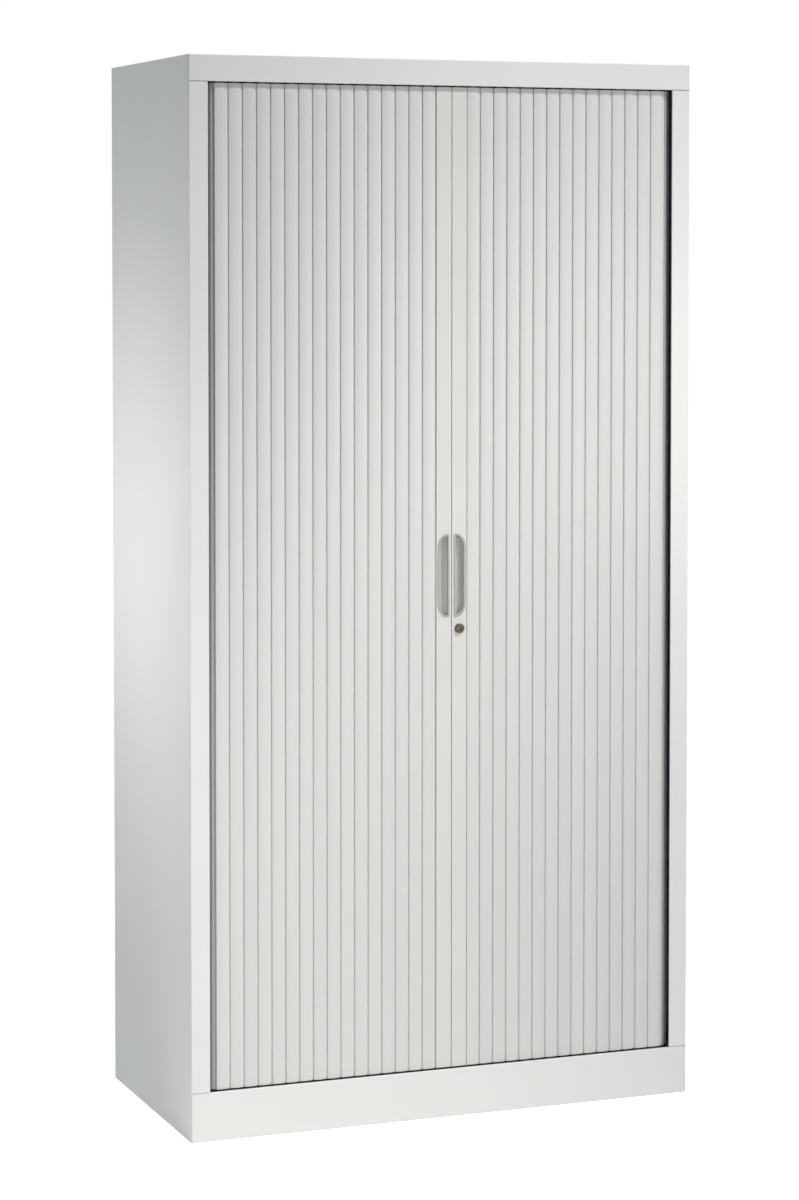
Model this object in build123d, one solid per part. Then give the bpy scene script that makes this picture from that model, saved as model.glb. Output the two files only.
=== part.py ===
"""Roll front tool cabinet: a steel carcass with two vertical tambour shutters that run behind its side panels.

Millimetres. +X is to the right of a person who faces the front, +Y runs to the back and +Z is up. The origin
is on the floor, in the middle of the footprint.
"""

from math import acos, cos, degrees, radians, sin, sqrt, tan
import os

from build123d import *

# ---- Carcass ----
cabinet_width = 1000.0
cabinet_depth = 500.0
cabinet_height = 1980.0
sheet = 1.2
fold_radius = 1.4
seam = 0.9
sheet_play = 0.2
post_width = 36.0
post_hem = 10.0
post_edge_radius = 1.08
top_rail_height = 48.0
rail_lip = 4.0
plinth_height = 90.0
plinth_foot = 25.0
edge_flange = 20.0
rear_flange = 20.0
base_height = 81.2
ceiling_drop = 38.0
rear_recess = 1.4

# ---- Shutters ----
face_recess = 7.0
slat_pitch = 27.0
slat_depth = 8.2
slat_skin = 1.8
slat_end_gap = 2.5
corner_reveal = 14.0
slat_edge_gap = 0.4
slat_edge_radius = 0.7
slat_overhang = 2.3
slat_web = 2.2
nose_radius = 6.5
nose_drop = 3.4
hook_radius = 1.2
hook_play = 0.25
hook_wall = 1.15
hook_neck = 1.1
mouth_margin = 28.0
tail_slat_count = 3
corner_turn = 45.0
tongue_width = 12.0
tongue_thickness = 3.0
tongue_length = 9.0

# ---- Leading strips, one at the free end of each shutter ----
lead_width = 31.0
lead_depth = 18.0
lead_wall = 1.8
lead_front_wall = 2.0
lead_return = 5.0
lead_edge_radius = 0.6
meeting_gap = 1.2
glider_length = 14.0
glider_play = 0.25

# ---- Finger shells ----
shell_width = 23.5
shell_height = 155.5
shell_centre_height = 1019.8
shell_margin = 4.4
shell_arc_width = 14.2
shell_arc_height = 21.0
shell_inner_radius = 2.5
shell_rim = 3.5
shell_rim_thickness = 1.0
shell_rim_radius = 0.45
shell_wall = 1.3
shell_depth = 12.5
shell_ramp_start = 3.0
shell_ramp_run = 8.0
shell_play = 0.2

# ---- Lock ----
lock_below_shell = 22.05
lock_setback = 15.5
lock_head_radius = 9.0
lock_head_proud = 4.2
lock_barrel_radius = 7.5
lock_barrel_length = 10.0
lock_plug_radius = 5.2
lock_plug_recess = 0.6
lock_plug_edge = 0.5
lock_play = 0.08
lock_nut_radius = 10.5
lock_nut_thickness = 3.0
keyway_width = 1.8
keyway_height = 7.0
keyway_depth = 8.0
hook_plate = 2.0
hook_hub_radius = 5.5
hook_arm_width = 8.0
hook_arm_length = 25.0
hook_nose_length = 5.0
hook_nose_width = 4.2
hook_travel_play = 1.2
hook_screw_radius = 1.5
hook_screw_head_radius = 3.2
hook_screw_head = 2.2
hook_screw_depth = 5.0
hook_screw_tip_gap = 0.5
keeper_thickness = 2.0
keeper_height = 46.0
keeper_drop = 6.0
keeper_mouth_play = 0.8

# ---- Guide tracks ----
track_width = 12.0
track_height = 8.0
track_floor = 1.0
track_groove = 4.4
track_rear_gap = 3.0
end_stop_length = 8.0
end_stop_play = 0.4
rivet_radius = 1.6
rivet_head_radius = 1.95
rivet_head = 0.6
rivet_tail_radius = 2.35
rivet_play = 0.05
track_rivet_count = 3
track_rivet_inset = 40.0

# ---- Interior ----
inner_wall_clearance = 9.0
inner_wall_front_gap = 42.0
inner_wall_front_flange = 18.0
inner_wall_flange = 14.0
slot_width = 4.0
slot_height = 12.0
slot_pitch = 25.0
first_slot = 60.0
slot_front_inset = 60.0
slot_rear_inset = 60.0
shelf_height = 25.0
shelf_return = 12.0
shelf_side_play = 1.5
shelf_front_gap = 8.0
shelf_rear_gap = 26.0
shelf_count = 4
floor_rows = 3
clip_width = 14.0
clip_ledge = 11.0
clip_thickness = 1.5
clip_plate_thickness = 0.9
clip_tab_width = 3.2
clip_tab_height = 5.0
clip_tab_reach = 2.5
clip_play = 0.2
stiffener_width = 60.0
stiffener_depth = 18.0
stiffener_flange = 16.0
back_rivet_radius = 2.0
back_rivet_head_radius = 3.6
back_rivet_head = 1.0
back_rivet_bulb_radius = 2.9
back_rivet_count = 7

# ---- Levelling feet ----
foot_inset_x = 75.0
foot_inset_y = 55.0
foot_bracket_width = 60.0
foot_bracket_height = 40.0
foot_pad_radius = 17.0
foot_pad_height = 8.0
foot_stud_radius = 4.0
foot_stud_top = 70.0
foot_stud_socket = 3.0
foot_nut_height = 6.5
foot_nut_radius = 7.5
foot_thread_play = 0.1
foot_access_radius = 8.0
cap_head_radius = 10.5
cap_head = 1.2
cap_edge_radius = 0.5
cap_plug_depth = 5.0
cap_wall = 1.2

# ---- Planes and places that follow from these sizes ----
half_width = cabinet_width / 2
front = -cabinet_depth / 2
back = cabinet_depth / 2
side_inside = half_width - sheet
face = front + face_recess
hook_depth = slat_depth - hook_wall - hook_play - hook_radius
pivot_relief = hook_radius + 2 * hook_play + hook_wall
path_front = face + hook_depth
turn_radius = (slat_pitch / 2) / tan(radians(corner_turn / 2))
slat_run = cabinet_width - 2 * (post_width + corner_reveal + lead_width)
slat_count = int(slat_run // slat_pitch)
right_slat_count = slat_count // 2
left_slat_count = slat_count - right_slat_count
curtain_half = slat_pitch * slat_count / 2 + lead_width
meeting_x = -curtain_half + slat_pitch * left_slat_count + lead_width
corner_x = curtain_half - slat_pitch / 2
path_side = corner_x + turn_radius
corner_y = path_front + turn_radius
rail_bottom = cabinet_height - top_rail_height
ceiling_height = cabinet_height - ceiling_drop
slat_bottom = plinth_height + slat_end_gap
slat_top = rail_bottom - slat_end_gap
inner_wall = path_side - (slat_depth - hook_depth) - inner_wall_clearance
inner_wall_front = front + inner_wall_front_gap
back_panel_face = back - rear_recess
back_panel_inside = back_panel_face - sheet
lead_back = face + lead_depth
lock_height = shell_centre_height - shell_height / 2 - lock_below_shell
slot_rows = int((ceiling_height - base_height - 2 * first_slot) // slot_pitch) + 1
shelf_row_step = round((slot_rows + floor_rows) / (shelf_count + 1))


def slab(x, y, z):
    """A block between two values of x, of y and of z."""
    size = (x[1] - x[0], y[1] - y[0], z[1] - z[0])
    return Pos(x[0], y[0], z[0]) * Box(*size, align=Align.MIN)


def rod(radius, start, length, direction=(0, 0, 1)):
    """A round bar from start, length long."""
    return extrude(Plane(start, z_dir=direction) * Circle(radius), length)


def mirrored(shape):
    """The same piece on the other side of the cabinet's middle plane."""
    return mirror(shape, about=Plane.YZ)


def rounded_edges(shape, axis, radius, places):
    """Fillet the edges along an axis that lie at the given (axis, value) places."""
    edges = shape.edges().filter_by(axis)
    for place_axis, value in places:
        edges = edges.filter_by_position(place_axis, value - 0.01, value + 0.01)
    return fillet(edges, radius)


def write(name, shape):
    """One STEP file for one named piece or group of like pieces."""
    solids = shape if isinstance(shape, list) else shape.solids()
    group = Compound(label=name, children=list(solids)) if len(solids) > 1 else solids[0]
    group.label = name
    export_step(group, f"parts/{name}.step")


# ---- Carcass panels ----


def side_panel():
    """Left side: one folded sheet with the front post, the hem and the flanges."""
    x_out = -half_width
    x_in = -side_inside
    post_bottom = plinth_height + seam
    post_top = rail_bottom - seam
    post_edge = x_out + post_width
    panel = slab((x_out, x_in), (front, back), (0, cabinet_height))
    panel = rounded_edges(panel, Axis.Z, fold_radius / 2, ((Axis.X, x_out), (Axis.Y, back)))
    post = slab((x_out, post_edge), (front, front + sheet), (post_bottom, post_top))
    hem = slab((post_edge - post_hem, post_edge), (front + sheet, front + 2 * sheet), (post_bottom, post_top))
    under_top = cabinet_height - sheet - sheet_play
    rear = slab((x_out, x_out + rear_flange), (back - sheet, back), (0, under_top))
    top_y = (front + 2 * sheet, back_panel_inside - sheet_play)
    top = slab((x_out, x_out + edge_flange), top_y, (under_top - sheet, under_top))
    foot = slab((x_out, x_out + plinth_foot), (front + 2 * sheet, back - sheet), (0, sheet))
    panel = panel + post + hem + rear + top + foot
    panel = rounded_edges(panel, Axis.Z, fold_radius, ((Axis.X, x_out), (Axis.Y, front)))
    return rounded_edges(panel, Axis.Z, post_edge_radius, ((Axis.X, post_edge), (Axis.Y, front)))


def top_panel():
    """Top sheet with the deep front rail and its lip, between the side sheets."""
    x = (-side_inside + sheet_play, side_inside - sheet_play)
    x_rear = half_width - rear_flange - sheet_play
    rail = slab(x, (front, front + sheet), (rail_bottom, cabinet_height))
    lip = slab(x, (front, front + rail_lip), (rail_bottom, rail_bottom + sheet))
    deck = slab(x, (front, back), (cabinet_height - sheet, cabinet_height))
    rear = slab((-x_rear, x_rear), (back - sheet, back), (cabinet_height - edge_flange, cabinet_height))
    panel = rail + lip + deck + rear
    panel = rounded_edges(panel, Axis.X, fold_radius, ((Axis.Y, front), (Axis.Z, cabinet_height)))
    panel = rounded_edges(panel, Axis.X, fold_radius, ((Axis.Y, back), (Axis.Z, cabinet_height)))
    return rounded_edges(panel, Axis.X, fold_radius, ((Axis.Y, front), (Axis.Z, rail_bottom)))


def plinth_front():
    """Front plinth board, flush with the posts, with a lip above and a foot below."""
    x = (-side_inside + sheet_play, side_inside - sheet_play)
    x_foot = half_width - plinth_foot - sheet_play
    board = slab(x, (front, front + sheet), (0, plinth_height))
    lip = slab(x, (front, front + rail_lip), (plinth_height - sheet, plinth_height))
    foot = slab((-x_foot, x_foot), (front, front + plinth_foot), (0, sheet))
    panel = board + lip + foot
    return rounded_edges(panel, Axis.X, fold_radius, ((Axis.Y, front), (Axis.Z, plinth_height)))


def plinth_rear():
    """Rear plinth board between the side panels' rear flanges."""
    x_board = half_width - rear_flange - sheet_play
    x_foot = half_width - plinth_foot - sheet_play
    top = base_height - sheet - sheet_play
    board = slab((-x_board, x_board), (back - sheet, back), (0, top))
    foot = slab((-x_foot, x_foot), (back - plinth_foot, back), (0, sheet))
    return board + foot


def track_rivet_places():
    """Distances from the middle of one track's rivets, evenly spaced on its front run."""
    span = corner_x - 2 * track_rivet_inset
    return [track_rivet_inset + span * index / (track_rivet_count - 1) for index in range(track_rivet_count)]


def base_panel():
    """Cabinet floor: a tray turned down at all four edges, with the foot access holes."""
    x = (-side_inside + sheet_play, side_inside - sheet_play)
    y = (front + rail_lip + sheet_play, back_panel_inside - sheet_play)
    z = (base_height - sheet, base_height)
    down = (base_height - edge_flange, base_height)
    panel = slab(x, y, z)
    panel += slab(x, (y[0], y[0] + sheet), down)
    panel += slab(x, (y[1] - sheet, y[1]), down)
    for foot_x, foot_y in foot_places():
        panel -= rod(foot_access_radius, (foot_x, foot_y, z[0] - sheet), 3 * sheet)
    for rivet_x in track_rivet_places():
        for side in (-1, 1):
            start = (side * rivet_x, path_front, z[0] - sheet)
            panel -= rod(rivet_radius + rivet_play, start, 3 * sheet)
    return panel


def ceiling_panel():
    """Inner ceiling that carries the upper tracks, turned up at front and back."""
    x = (-side_inside + sheet_play, side_inside - sheet_play)
    y = (front + rail_lip + sheet_play, back_panel_inside - sheet_play)
    z = (ceiling_height, ceiling_height + sheet)
    up = (ceiling_height, ceiling_height + edge_flange)
    panel = slab(x, y, z)
    panel += slab(x, (y[0], y[0] + sheet), up)
    panel += slab(x, (y[1] - sheet, y[1]), up)
    for rivet_x in track_rivet_places():
        for side in (-1, 1):
            start = (side * rivet_x, path_front, z[0] - sheet)
            panel -= rod(rivet_radius + rivet_play, start, 3 * sheet)
    return panel


def back_rivet_points():
    """Centres of the rivets through the back panel: three columns of equal spacing."""
    span = ceiling_height - base_height - 4 * edge_flange
    column_x = inner_wall - sheet - inner_wall_flange / 2
    stiffener_x = stiffener_width / 2 + stiffener_flange / 2
    points = []
    for index in range(back_rivet_count):
        z = base_height + 2 * edge_flange + span * index / (back_rivet_count - 1)
        points += [(x, z) for x in (-column_x, -stiffener_x, stiffener_x, column_x)]
    return points


def drill_back(panel):
    """The rivet holes in a sheet that the back rivets pass."""
    depth = 4 * sheet
    radius = back_rivet_radius + rivet_play
    tools = [rod(radius, (x, back_panel_inside - depth / 2, z), depth, (0, 1, 0)) for x, z in back_rivet_points()]
    return panel - tools


def back_panel():
    """Rear sheet, set in behind the side panels' rear flanges."""
    x = side_inside - sheet_play
    z = (base_height - edge_flange, cabinet_height - sheet - sheet_play)
    return drill_back(slab((-x, x), (back_panel_inside, back_panel_face), z))


def rear_stiffener():
    """Hat-section upright in the middle of the back."""
    outer = stiffener_width / 2
    z = (base_height + sheet_play, ceiling_height - sheet_play)
    y_wall = back_panel_inside
    web = slab((-outer, outer), (y_wall - stiffener_depth, y_wall - stiffener_depth + sheet), z)
    cheek = slab((outer - sheet, outer), (y_wall - stiffener_depth, y_wall), z)
    foot = slab((outer - sheet, outer + stiffener_flange), (y_wall - sheet, y_wall), z)
    return drill_back(web + cheek + foot + mirrored(cheek + foot))


def back_rivets():
    """Blind rivets through the back panel, with flat heads in its recess."""
    rivets = []
    for x, z in back_rivet_points():
        tail = back_panel_inside - sheet_play - 2 * sheet
        shank = rod(back_rivet_radius, (x, tail, z), back_panel_face - tail, (0, 1, 0))
        head = rod(back_rivet_head_radius, (x, back_panel_face, z), back_rivet_head, (0, 1, 0))
        head = fillet(head.edges().sort_by(Axis.Y)[-1], back_rivet_head / 2)
        bulb = rod(back_rivet_bulb_radius, (x, tail, z), sheet, (0, 1, 0))
        rivets.append((shank + head + bulb).solid())
    return rivets


# ---- Shutter path ----


def along_path(distance):
    """Place of a slat's left hook on the left shutter's path, counted outward from the corner hook.

    The slats stand on straight runs and turn by equal steps at the corner.
    """
    x = -curtain_half
    y = path_front
    angle = 0.0
    for step in range(distance):
        angle = min(90.0, angle + corner_turn)
        x -= slat_pitch * cos(radians(angle))
        y += slat_pitch * sin(radians(angle))
    return x, y, angle


def track_outline(half_band):
    """Plan of a band on the left shutter's path: front run, corner arc and side run."""
    outer = turn_radius + half_band
    inner = turn_radius - half_band
    y_end = back_panel_inside - track_rear_gap
    start = (0, path_front - half_band)
    front_end = (-corner_x, path_front - half_band)
    side_start = (-corner_x - outer, corner_y)
    side_end = (-corner_x - outer, y_end)
    inner_end = (-corner_x - inner, y_end)
    inner_start = (-corner_x - inner, corner_y)
    inner_front = (-corner_x, path_front + half_band)
    finish = (0, path_front + half_band)
    diagonal = sqrt(0.5)
    outer_middle = (-corner_x - outer * diagonal, corner_y - outer * diagonal)
    inner_middle = (-corner_x - inner * diagonal, corner_y - inner * diagonal)
    outline = Line(start, front_end) + ThreePointArc(front_end, outer_middle, side_start)
    outline += Line(side_start, side_end) + Line(side_end, inner_end) + Line(inner_end, inner_start)
    outline += ThreePointArc(inner_start, inner_middle, inner_front) + Line(inner_front, finish) + Line(finish, start)
    return make_face(outline)


def track(upper):
    """Left guide track: a plastic channel open towards the slats."""
    bottom = ceiling_height - track_height if upper else base_height
    groove_bottom = bottom if upper else bottom + track_floor
    body = Pos(0, 0, bottom) * extrude(track_outline(track_width / 2), track_height)
    groove = Pos(0, 0, groove_bottom) * extrude(track_outline(track_groove / 2), track_height - track_floor)
    channel = body - groove
    for rivet_x in track_rivet_places():
        channel -= rod(rivet_radius + rivet_play, (-rivet_x, path_front, bottom), track_height)
    return channel


def track_rivets(upper):
    """Rivets that hold both tracks of one level to its panel."""
    floor = ceiling_height - track_floor if upper else base_height + track_floor
    outward = 1 if upper else -1
    rivets = []
    for rivet_x in track_rivet_places():
        for side in (-1, 1):
            place = (side * rivet_x, path_front)
            head = rod(rivet_head_radius, (*place, floor), rivet_head, (0, 0, -outward))
            shank = rod(rivet_radius, (*place, floor), track_floor + 2 * sheet, (0, 0, outward))
            tail_start = floor + outward * (track_floor + sheet)
            tail = rod(rivet_tail_radius, (*place, tail_start), sheet, (0, 0, outward))
            rivets.append((head + shank + tail).solid())
    return rivets


def end_stops():
    """Rubber blocks that close the rear ends of the four track grooves."""
    half_band = track_groove / 2 - end_stop_play
    y_end = back_panel_inside - track_rear_gap
    height = track_height - track_floor - end_stop_play
    stops = []
    for bottom in (base_height + track_floor, ceiling_height - track_floor - height):
        for side in (-1, 1):
            x = side * path_side
            span_x = (x - half_band, x + half_band)
            stops.append(slab(span_x, (y_end - end_stop_length, y_end), (bottom, bottom + height)))
    return stops


# ---- Slats ----


def hook_socket_cut():
    """Mouth of a slat's socket: it lets the next slat's neck swing back by one corner step."""
    reach = 3 * (hook_radius + hook_wall)
    low = radians(-mouth_margin)
    high = radians(corner_turn + mouth_margin)
    tip = (slat_pitch, hook_depth)
    corners = [tip]
    for step in range(5):
        angle = low + (high - low) * step / 4
        corners.append((slat_pitch + reach * cos(angle), hook_depth + reach * sin(angle)))
    return make_face(Polyline(*corners, close=True))


def bead_and_neck(reach):
    """Hook bead on the pivot line at a strip's left edge, with its neck."""
    neck = Pos(reach / 2, hook_depth) * Rectangle(reach, hook_neck)
    return Pos(0, hook_depth) * Circle(hook_radius) + neck


def socket(at_u):
    """Ring of the socket round a pivot line, before its mouth is cut."""
    return Pos(at_u, hook_depth) * Circle(hook_radius + hook_play + hook_wall)


def slat_section():
    """Section of one slat: u to the right, v to the back, with the hook left and the socket right."""
    nose_angle = degrees(acos(1 - nose_drop / nose_radius))
    nose_length = nose_radius * sin(radians(nose_angle))
    nose_end = slat_pitch - slat_edge_gap * 2
    flat_end = nose_end - nose_length
    r = slat_edge_radius
    relief = pivot_relief
    face_line = Line((slat_edge_gap + r, 0), (flat_end, 0))
    nose = JernArc((flat_end, 0), (1, 0), nose_radius, nose_angle)
    drop = Line(nose @ 1, (nose_end, hook_depth))
    right = Line((nose_end, hook_depth), (nose_end, slat_depth))
    rear = Line((nose_end, slat_depth), (relief, slat_depth))
    left = Line((relief, slat_depth), (relief, slat_overhang))
    under = Line((relief, slat_overhang), (slat_edge_gap, slat_overhang))
    edge = Line((slat_edge_gap, slat_overhang), (slat_edge_gap, r))
    round_edge = JernArc((slat_edge_gap, r), (0, -1), r, 90)
    body = make_face(face_line + nose + drop + right + rear + left + under + edge + round_edge)
    body = body + socket(slat_pitch)
    body -= Pos(slat_pitch, hook_depth) * Circle(hook_radius + hook_play)
    body -= hook_socket_cut()
    body -= Pos(0, hook_depth) * Circle(relief)
    body -= slat_channels(relief)
    return body + bead_and_neck(relief + slat_web)


def slat_channels(relief):
    """Two channels in the slat's back that leave a skin, two webs and the socket."""
    first = relief + slat_web
    last = slat_pitch - hook_radius - hook_play - hook_wall - slat_web / 2
    middle = slat_pitch / 2
    depth = slat_depth - slat_skin
    channels = []
    for low, high in ((first, middle - slat_web / 2), (middle + slat_web / 2, last)):
        centre = ((low + high) / 2, slat_skin + depth / 2)
        channels.append(Pos(*centre) * Rectangle(high - low, depth))
    return channels


def slat():
    """One slat on the left of its own pivot line, with a tongue at each end."""
    body = Pos(0, 0, slat_bottom) * extrude(slat_section(), slat_top - slat_bottom)
    tongue = Pos(slat_pitch / 2, hook_depth) * Rectangle(tongue_width, tongue_thickness)
    low = Pos(0, 0, slat_bottom - tongue_length) * extrude(tongue, tongue_length)
    high = Pos(0, 0, slat_top) * extrude(tongue, tongue_length)
    return (body + low + high).solid()


def placed_slat(pattern, x, y, angle):
    """A slat whose left pivot stands at x, y, turned about it."""
    return Pos(x, y, 0) * Rot(0, 0, angle) * Pos(0, -hook_depth, 0) * pattern


def flat_slats(pattern, first_x, count):
    """Slats side by side on the front run."""
    return [placed_slat(pattern, first_x + slat_pitch * index, path_front, 0) for index in range(count)]


def left_tail(pattern):
    """The left shutter's last slats, round the corner and along the side."""
    slats = []
    for step in range(1, tail_slat_count + 1):
        x, y, angle = along_path(step)
        slats.append(placed_slat(pattern, x, y, -angle))
    return slats


def right_tail(pattern):
    """The right shutter's last slats, round the corner and along the side."""
    slats = []
    for step in range(tail_slat_count):
        x, y, _ = along_path(step)
        angle = along_path(step + 1)[2]
        slats.append(placed_slat(pattern, -x, y, angle))
    return slats


# ---- Leading strips ----


def lead_section(left, right):
    """Box section, open at the back, between two values of x, before its hinge edge is added."""
    meeting_side = left if left > meeting_x else right
    outer = slab((left, right), (face, lead_back), (slat_bottom, slat_top))
    outer = rounded_edges(outer, Axis.Z, lead_edge_radius, ((Axis.X, meeting_side), (Axis.Y, face)))
    inside = (left + lead_wall, right - lead_wall)
    hollow = slab(inside, (face + lead_front_wall, lead_back - lead_wall), (slat_bottom, slat_top))
    mouth = slab((left + lead_return, right - lead_return), (face, lead_back), (slat_bottom, slat_top))
    front_wall = slab((left, right), (face, face + lead_front_wall), (slat_bottom, slat_top))
    return outer - hollow - (mouth - front_wall)


def left_lead_span():
    """Left and right faces of the left leading strip's box, without its hook."""
    return meeting_x - lead_width + pivot_relief, meeting_x - meeting_gap / 2


def right_lead_span():
    """Left and right faces of the right leading strip's box, without its socket."""
    return meeting_x + meeting_gap / 2, meeting_x + lead_width - hook_radius - hook_play - hook_wall / 2


def full_height(section):
    """A hinge section extruded to the slats' height."""
    return Pos(0, 0, slat_bottom) * extrude(section, slat_top - slat_bottom)


def left_lead_strip():
    """Left leading strip: its left edge hooks into the last slat."""
    left, right = left_lead_span()
    hinge_x = meeting_x - lead_width
    strip = lead_section(left, right)
    cover = slab((hinge_x + slat_edge_gap, left + lead_wall), (face, face + slat_overhang), (slat_bottom, slat_top))
    cover = rounded_edges(cover, Axis.Z, slat_edge_radius, ((Axis.X, hinge_x + slat_edge_gap), (Axis.Y, face)))
    hook = Pos(hinge_x, face, 0) * full_height(bead_and_neck(left - hinge_x + lead_wall / 2))
    return strip + cover + hook - across_meeting(shell_cutout()) - hook_slot(right - lead_wall, right)


def right_lead_strip():
    """Right leading strip: the first slat hooks into the socket on its right edge."""
    left, right = right_lead_span()
    hinge_x = meeting_x + lead_width
    ring = socket(slat_pitch) - Pos(slat_pitch, hook_depth) * Circle(hook_radius + hook_play) - hook_socket_cut()
    edge = Pos(hinge_x - slat_pitch, face, 0) * full_height(ring)
    cover_end = hinge_x - 2 * slat_edge_gap
    cover = slab((right - lead_wall, cover_end), (face, face + lead_front_wall), (slat_bottom, slat_top))
    cover = rounded_edges(cover, Axis.Z, slat_edge_radius, ((Axis.X, cover_end), (Axis.Y, face)))
    strip = lead_section(left, right) + cover + edge
    lock_x = lock_centre_x()
    strip -= rod(lock_barrel_radius + lock_play, (lock_x, face - 1, lock_height), lead_depth / 2, (0, 1, 0))
    return strip - shell_cutout() - hook_slot(left, left + lead_wall)


def hook_slot(x0, x1):
    """Opening in a leading strip's meeting wall for the lock's hook."""
    top = lock_height + hook_arm_width / 2 + hook_nose_length + 2 * hook_travel_play
    y = (hook_plane() - hook_travel_play, hook_plane() + hook_plate + hook_travel_play)
    return slab((x0 - 1, x1 + 1), y, (lock_height - hook_arm_length, top))


def gliders(left, right):
    """End plugs of one leading strip, with the tongues that run in the tracks."""
    middle = (left + right) / 2
    x = (left + lead_wall + glider_play, right - lead_wall - glider_play)
    y = (face + lead_front_wall + glider_play, lead_back - lead_wall - glider_play)
    tongue_x = (middle - tongue_width / 2, middle + tongue_width / 2)
    tongue_y = (path_front - tongue_thickness / 2, path_front + tongue_thickness / 2)
    low = slab(x, y, (slat_bottom, slat_bottom + glider_length))
    low += slab(tongue_x, tongue_y, (slat_bottom - tongue_length, slat_bottom))
    high = slab(x, y, (slat_top - glider_length, slat_top))
    high += slab(tongue_x, tongue_y, (slat_top, slat_top + tongue_length))
    return [low.solid(), high.solid()]


# ---- Finger shells ----


def shell_outline(inset=0.0):
    """D-shaped outline of the right shell, straight towards the meeting line."""
    half = shell_height / 2
    arc = (shell_arc_width**2 + shell_arc_height**2) / (2 * shell_arc_width)
    flat = shell_width - shell_arc_width
    middle = acos((arc - shell_arc_width) / arc) / 2
    shoulder = half - shell_arc_height
    bulge = (shell_width - arc + arc * cos(middle), shoulder + arc * sin(middle))
    outline = Line((0, -half), (0, half)) + Line((0, half), (flat, half))
    outline += ThreePointArc((flat, half), bulge, (shell_width, shoulder))
    outline += Line((shell_width, shoulder), (shell_width, -shoulder))
    outline += ThreePointArc((shell_width, -shoulder), (bulge[0], -bulge[1]), (flat, -half))
    outline += Line((flat, -half), (0, -half))
    region = make_face(outline)
    region = fillet(region.vertices().sort_by(Axis.X)[:2], shell_inner_radius)
    return offset(region, -inset) if inset else region


def shell_plane():
    """Plane of the shutter's face at the right shell, with its normal to the front."""
    return Plane((meeting_x + shell_margin, face, shell_centre_height), x_dir=(1, 0, 0), z_dir=(0, -1, 0))


def across_meeting(shape):
    """The same piece on the other side of the meeting line."""
    return mirror(shape, about=Plane((meeting_x, 0, 0), x_dir=(0, 1, 0), z_dir=(1, 0, 0)))


def shell_cutout():
    """Hole in the right leading strip's face that takes the finger shell's cup."""
    region = shell_outline(shell_rim - shell_wall - shell_play)
    return extrude(shell_plane() * region, lead_front_wall + 1, both=True)


def shell_ramp(wall, deep):
    """Wedge that fills the cup's corner between its meeting-side wall and its floor."""
    x_wall = meeting_x + shell_margin + wall
    x_toe = x_wall + shell_ramp_run
    corner = (x_wall - shell_ramp_run, deep + shell_ramp_run)
    points = [(x_wall, face + shell_ramp_start), (x_toe, deep), (x_toe, corner[1]), corner]
    points += [(corner[0], face + shell_ramp_start)]
    low = shell_centre_height - shell_height / 2
    return Pos(0, 0, low) * extrude(make_face(Polyline(*points, close=True)), shell_height)


def finger_shell():
    """Right moulded grip: a rim on the face, and a cup whose floor ramps up towards the meeting line."""
    plane = shell_plane()
    rim = extrude(plane * shell_outline(), shell_rim_thickness)
    rim = fillet(rim.faces().sort_by(Axis.Y)[0].edges(), shell_rim_radius)
    cup = extrude(plane * shell_outline(shell_rim - shell_wall), -shell_depth)
    cup -= shell_ramp(shell_rim - shell_wall, face + shell_depth)
    floor = shell_depth - shell_wall
    hollow = extrude(plane * shell_outline(shell_rim), -floor)
    hollow -= shell_ramp(shell_rim, face + floor)
    mouth = extrude(plane * shell_outline(shell_rim), 2 * shell_rim_thickness)
    return (rim + cup - hollow - mouth).solid()


# ---- Lock ----


def lock_centre_x():
    """Middle of the right leading strip's face."""
    return meeting_x + lock_setback


def hook_plane():
    """Front face of the lock's hook plate."""
    return face + lock_barrel_length


def lock_housing():
    """Nickel-plated head and threaded barrel, fixed in the right leading strip."""
    x = lock_centre_x()
    head = rod(lock_head_radius, (x, face - lock_head_proud, lock_height), lock_head_proud, (0, 1, 0))
    head = fillet(head.edges().sort_by(Axis.Y)[0], lock_head_proud / 3)
    barrel = rod(lock_barrel_radius, (x, face, lock_height), lock_barrel_length, (0, 1, 0))
    bore_start = (x, face - lock_head_proud - 1, lock_height)
    bore = rod(lock_plug_radius + lock_play, bore_start, lock_head_proud + lock_barrel_length + 2, (0, 1, 0))
    return head + barrel - bore


def lock_plug():
    """Turning plug with its keyway."""
    x = lock_centre_x()
    start = face - lock_head_proud + lock_plug_recess
    plug = rod(lock_plug_radius, (x, start, lock_height), hook_plane() - start, (0, 1, 0))
    plug = fillet(plug.edges().sort_by(Axis.Y)[0], lock_plug_edge)
    half = keyway_width / 2
    z = (lock_height - keyway_height / 2, lock_height + keyway_height / 2)
    plug -= slab((x - half, x + half), (start - 1, start + keyway_depth), z)
    return plug - hook_screw_hole()


def hook_screw_hole():
    """Blind hole for the hook's screw in the plug's tail."""
    start = (lock_centre_x(), hook_plane() - hook_screw_depth, lock_height)
    return rod(hook_screw_radius, start, lead_depth, (0, 1, 0))


def lock_hook():
    """Steel hook: hangs down when open, and swings up into the left leading strip when locked."""
    x = lock_centre_x()
    half = hook_arm_width / 2
    y = (hook_plane(), hook_plane() + hook_plate)
    hub = rod(hook_hub_radius, (x, y[0], lock_height), hook_plate, (0, 1, 0))
    arm = slab((x - half, x + half), y, (lock_height - hook_arm_length, lock_height))
    nose_z = (lock_height - hook_arm_length, lock_height - hook_arm_length + hook_nose_width)
    nose = slab((x - half - hook_nose_length, x - half), y, nose_z)
    hook = hub + arm + nose
    return hook - rod(hook_screw_radius, (x, y[0] - 1, lock_height), hook_plate + 2, (0, 1, 0))


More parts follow.
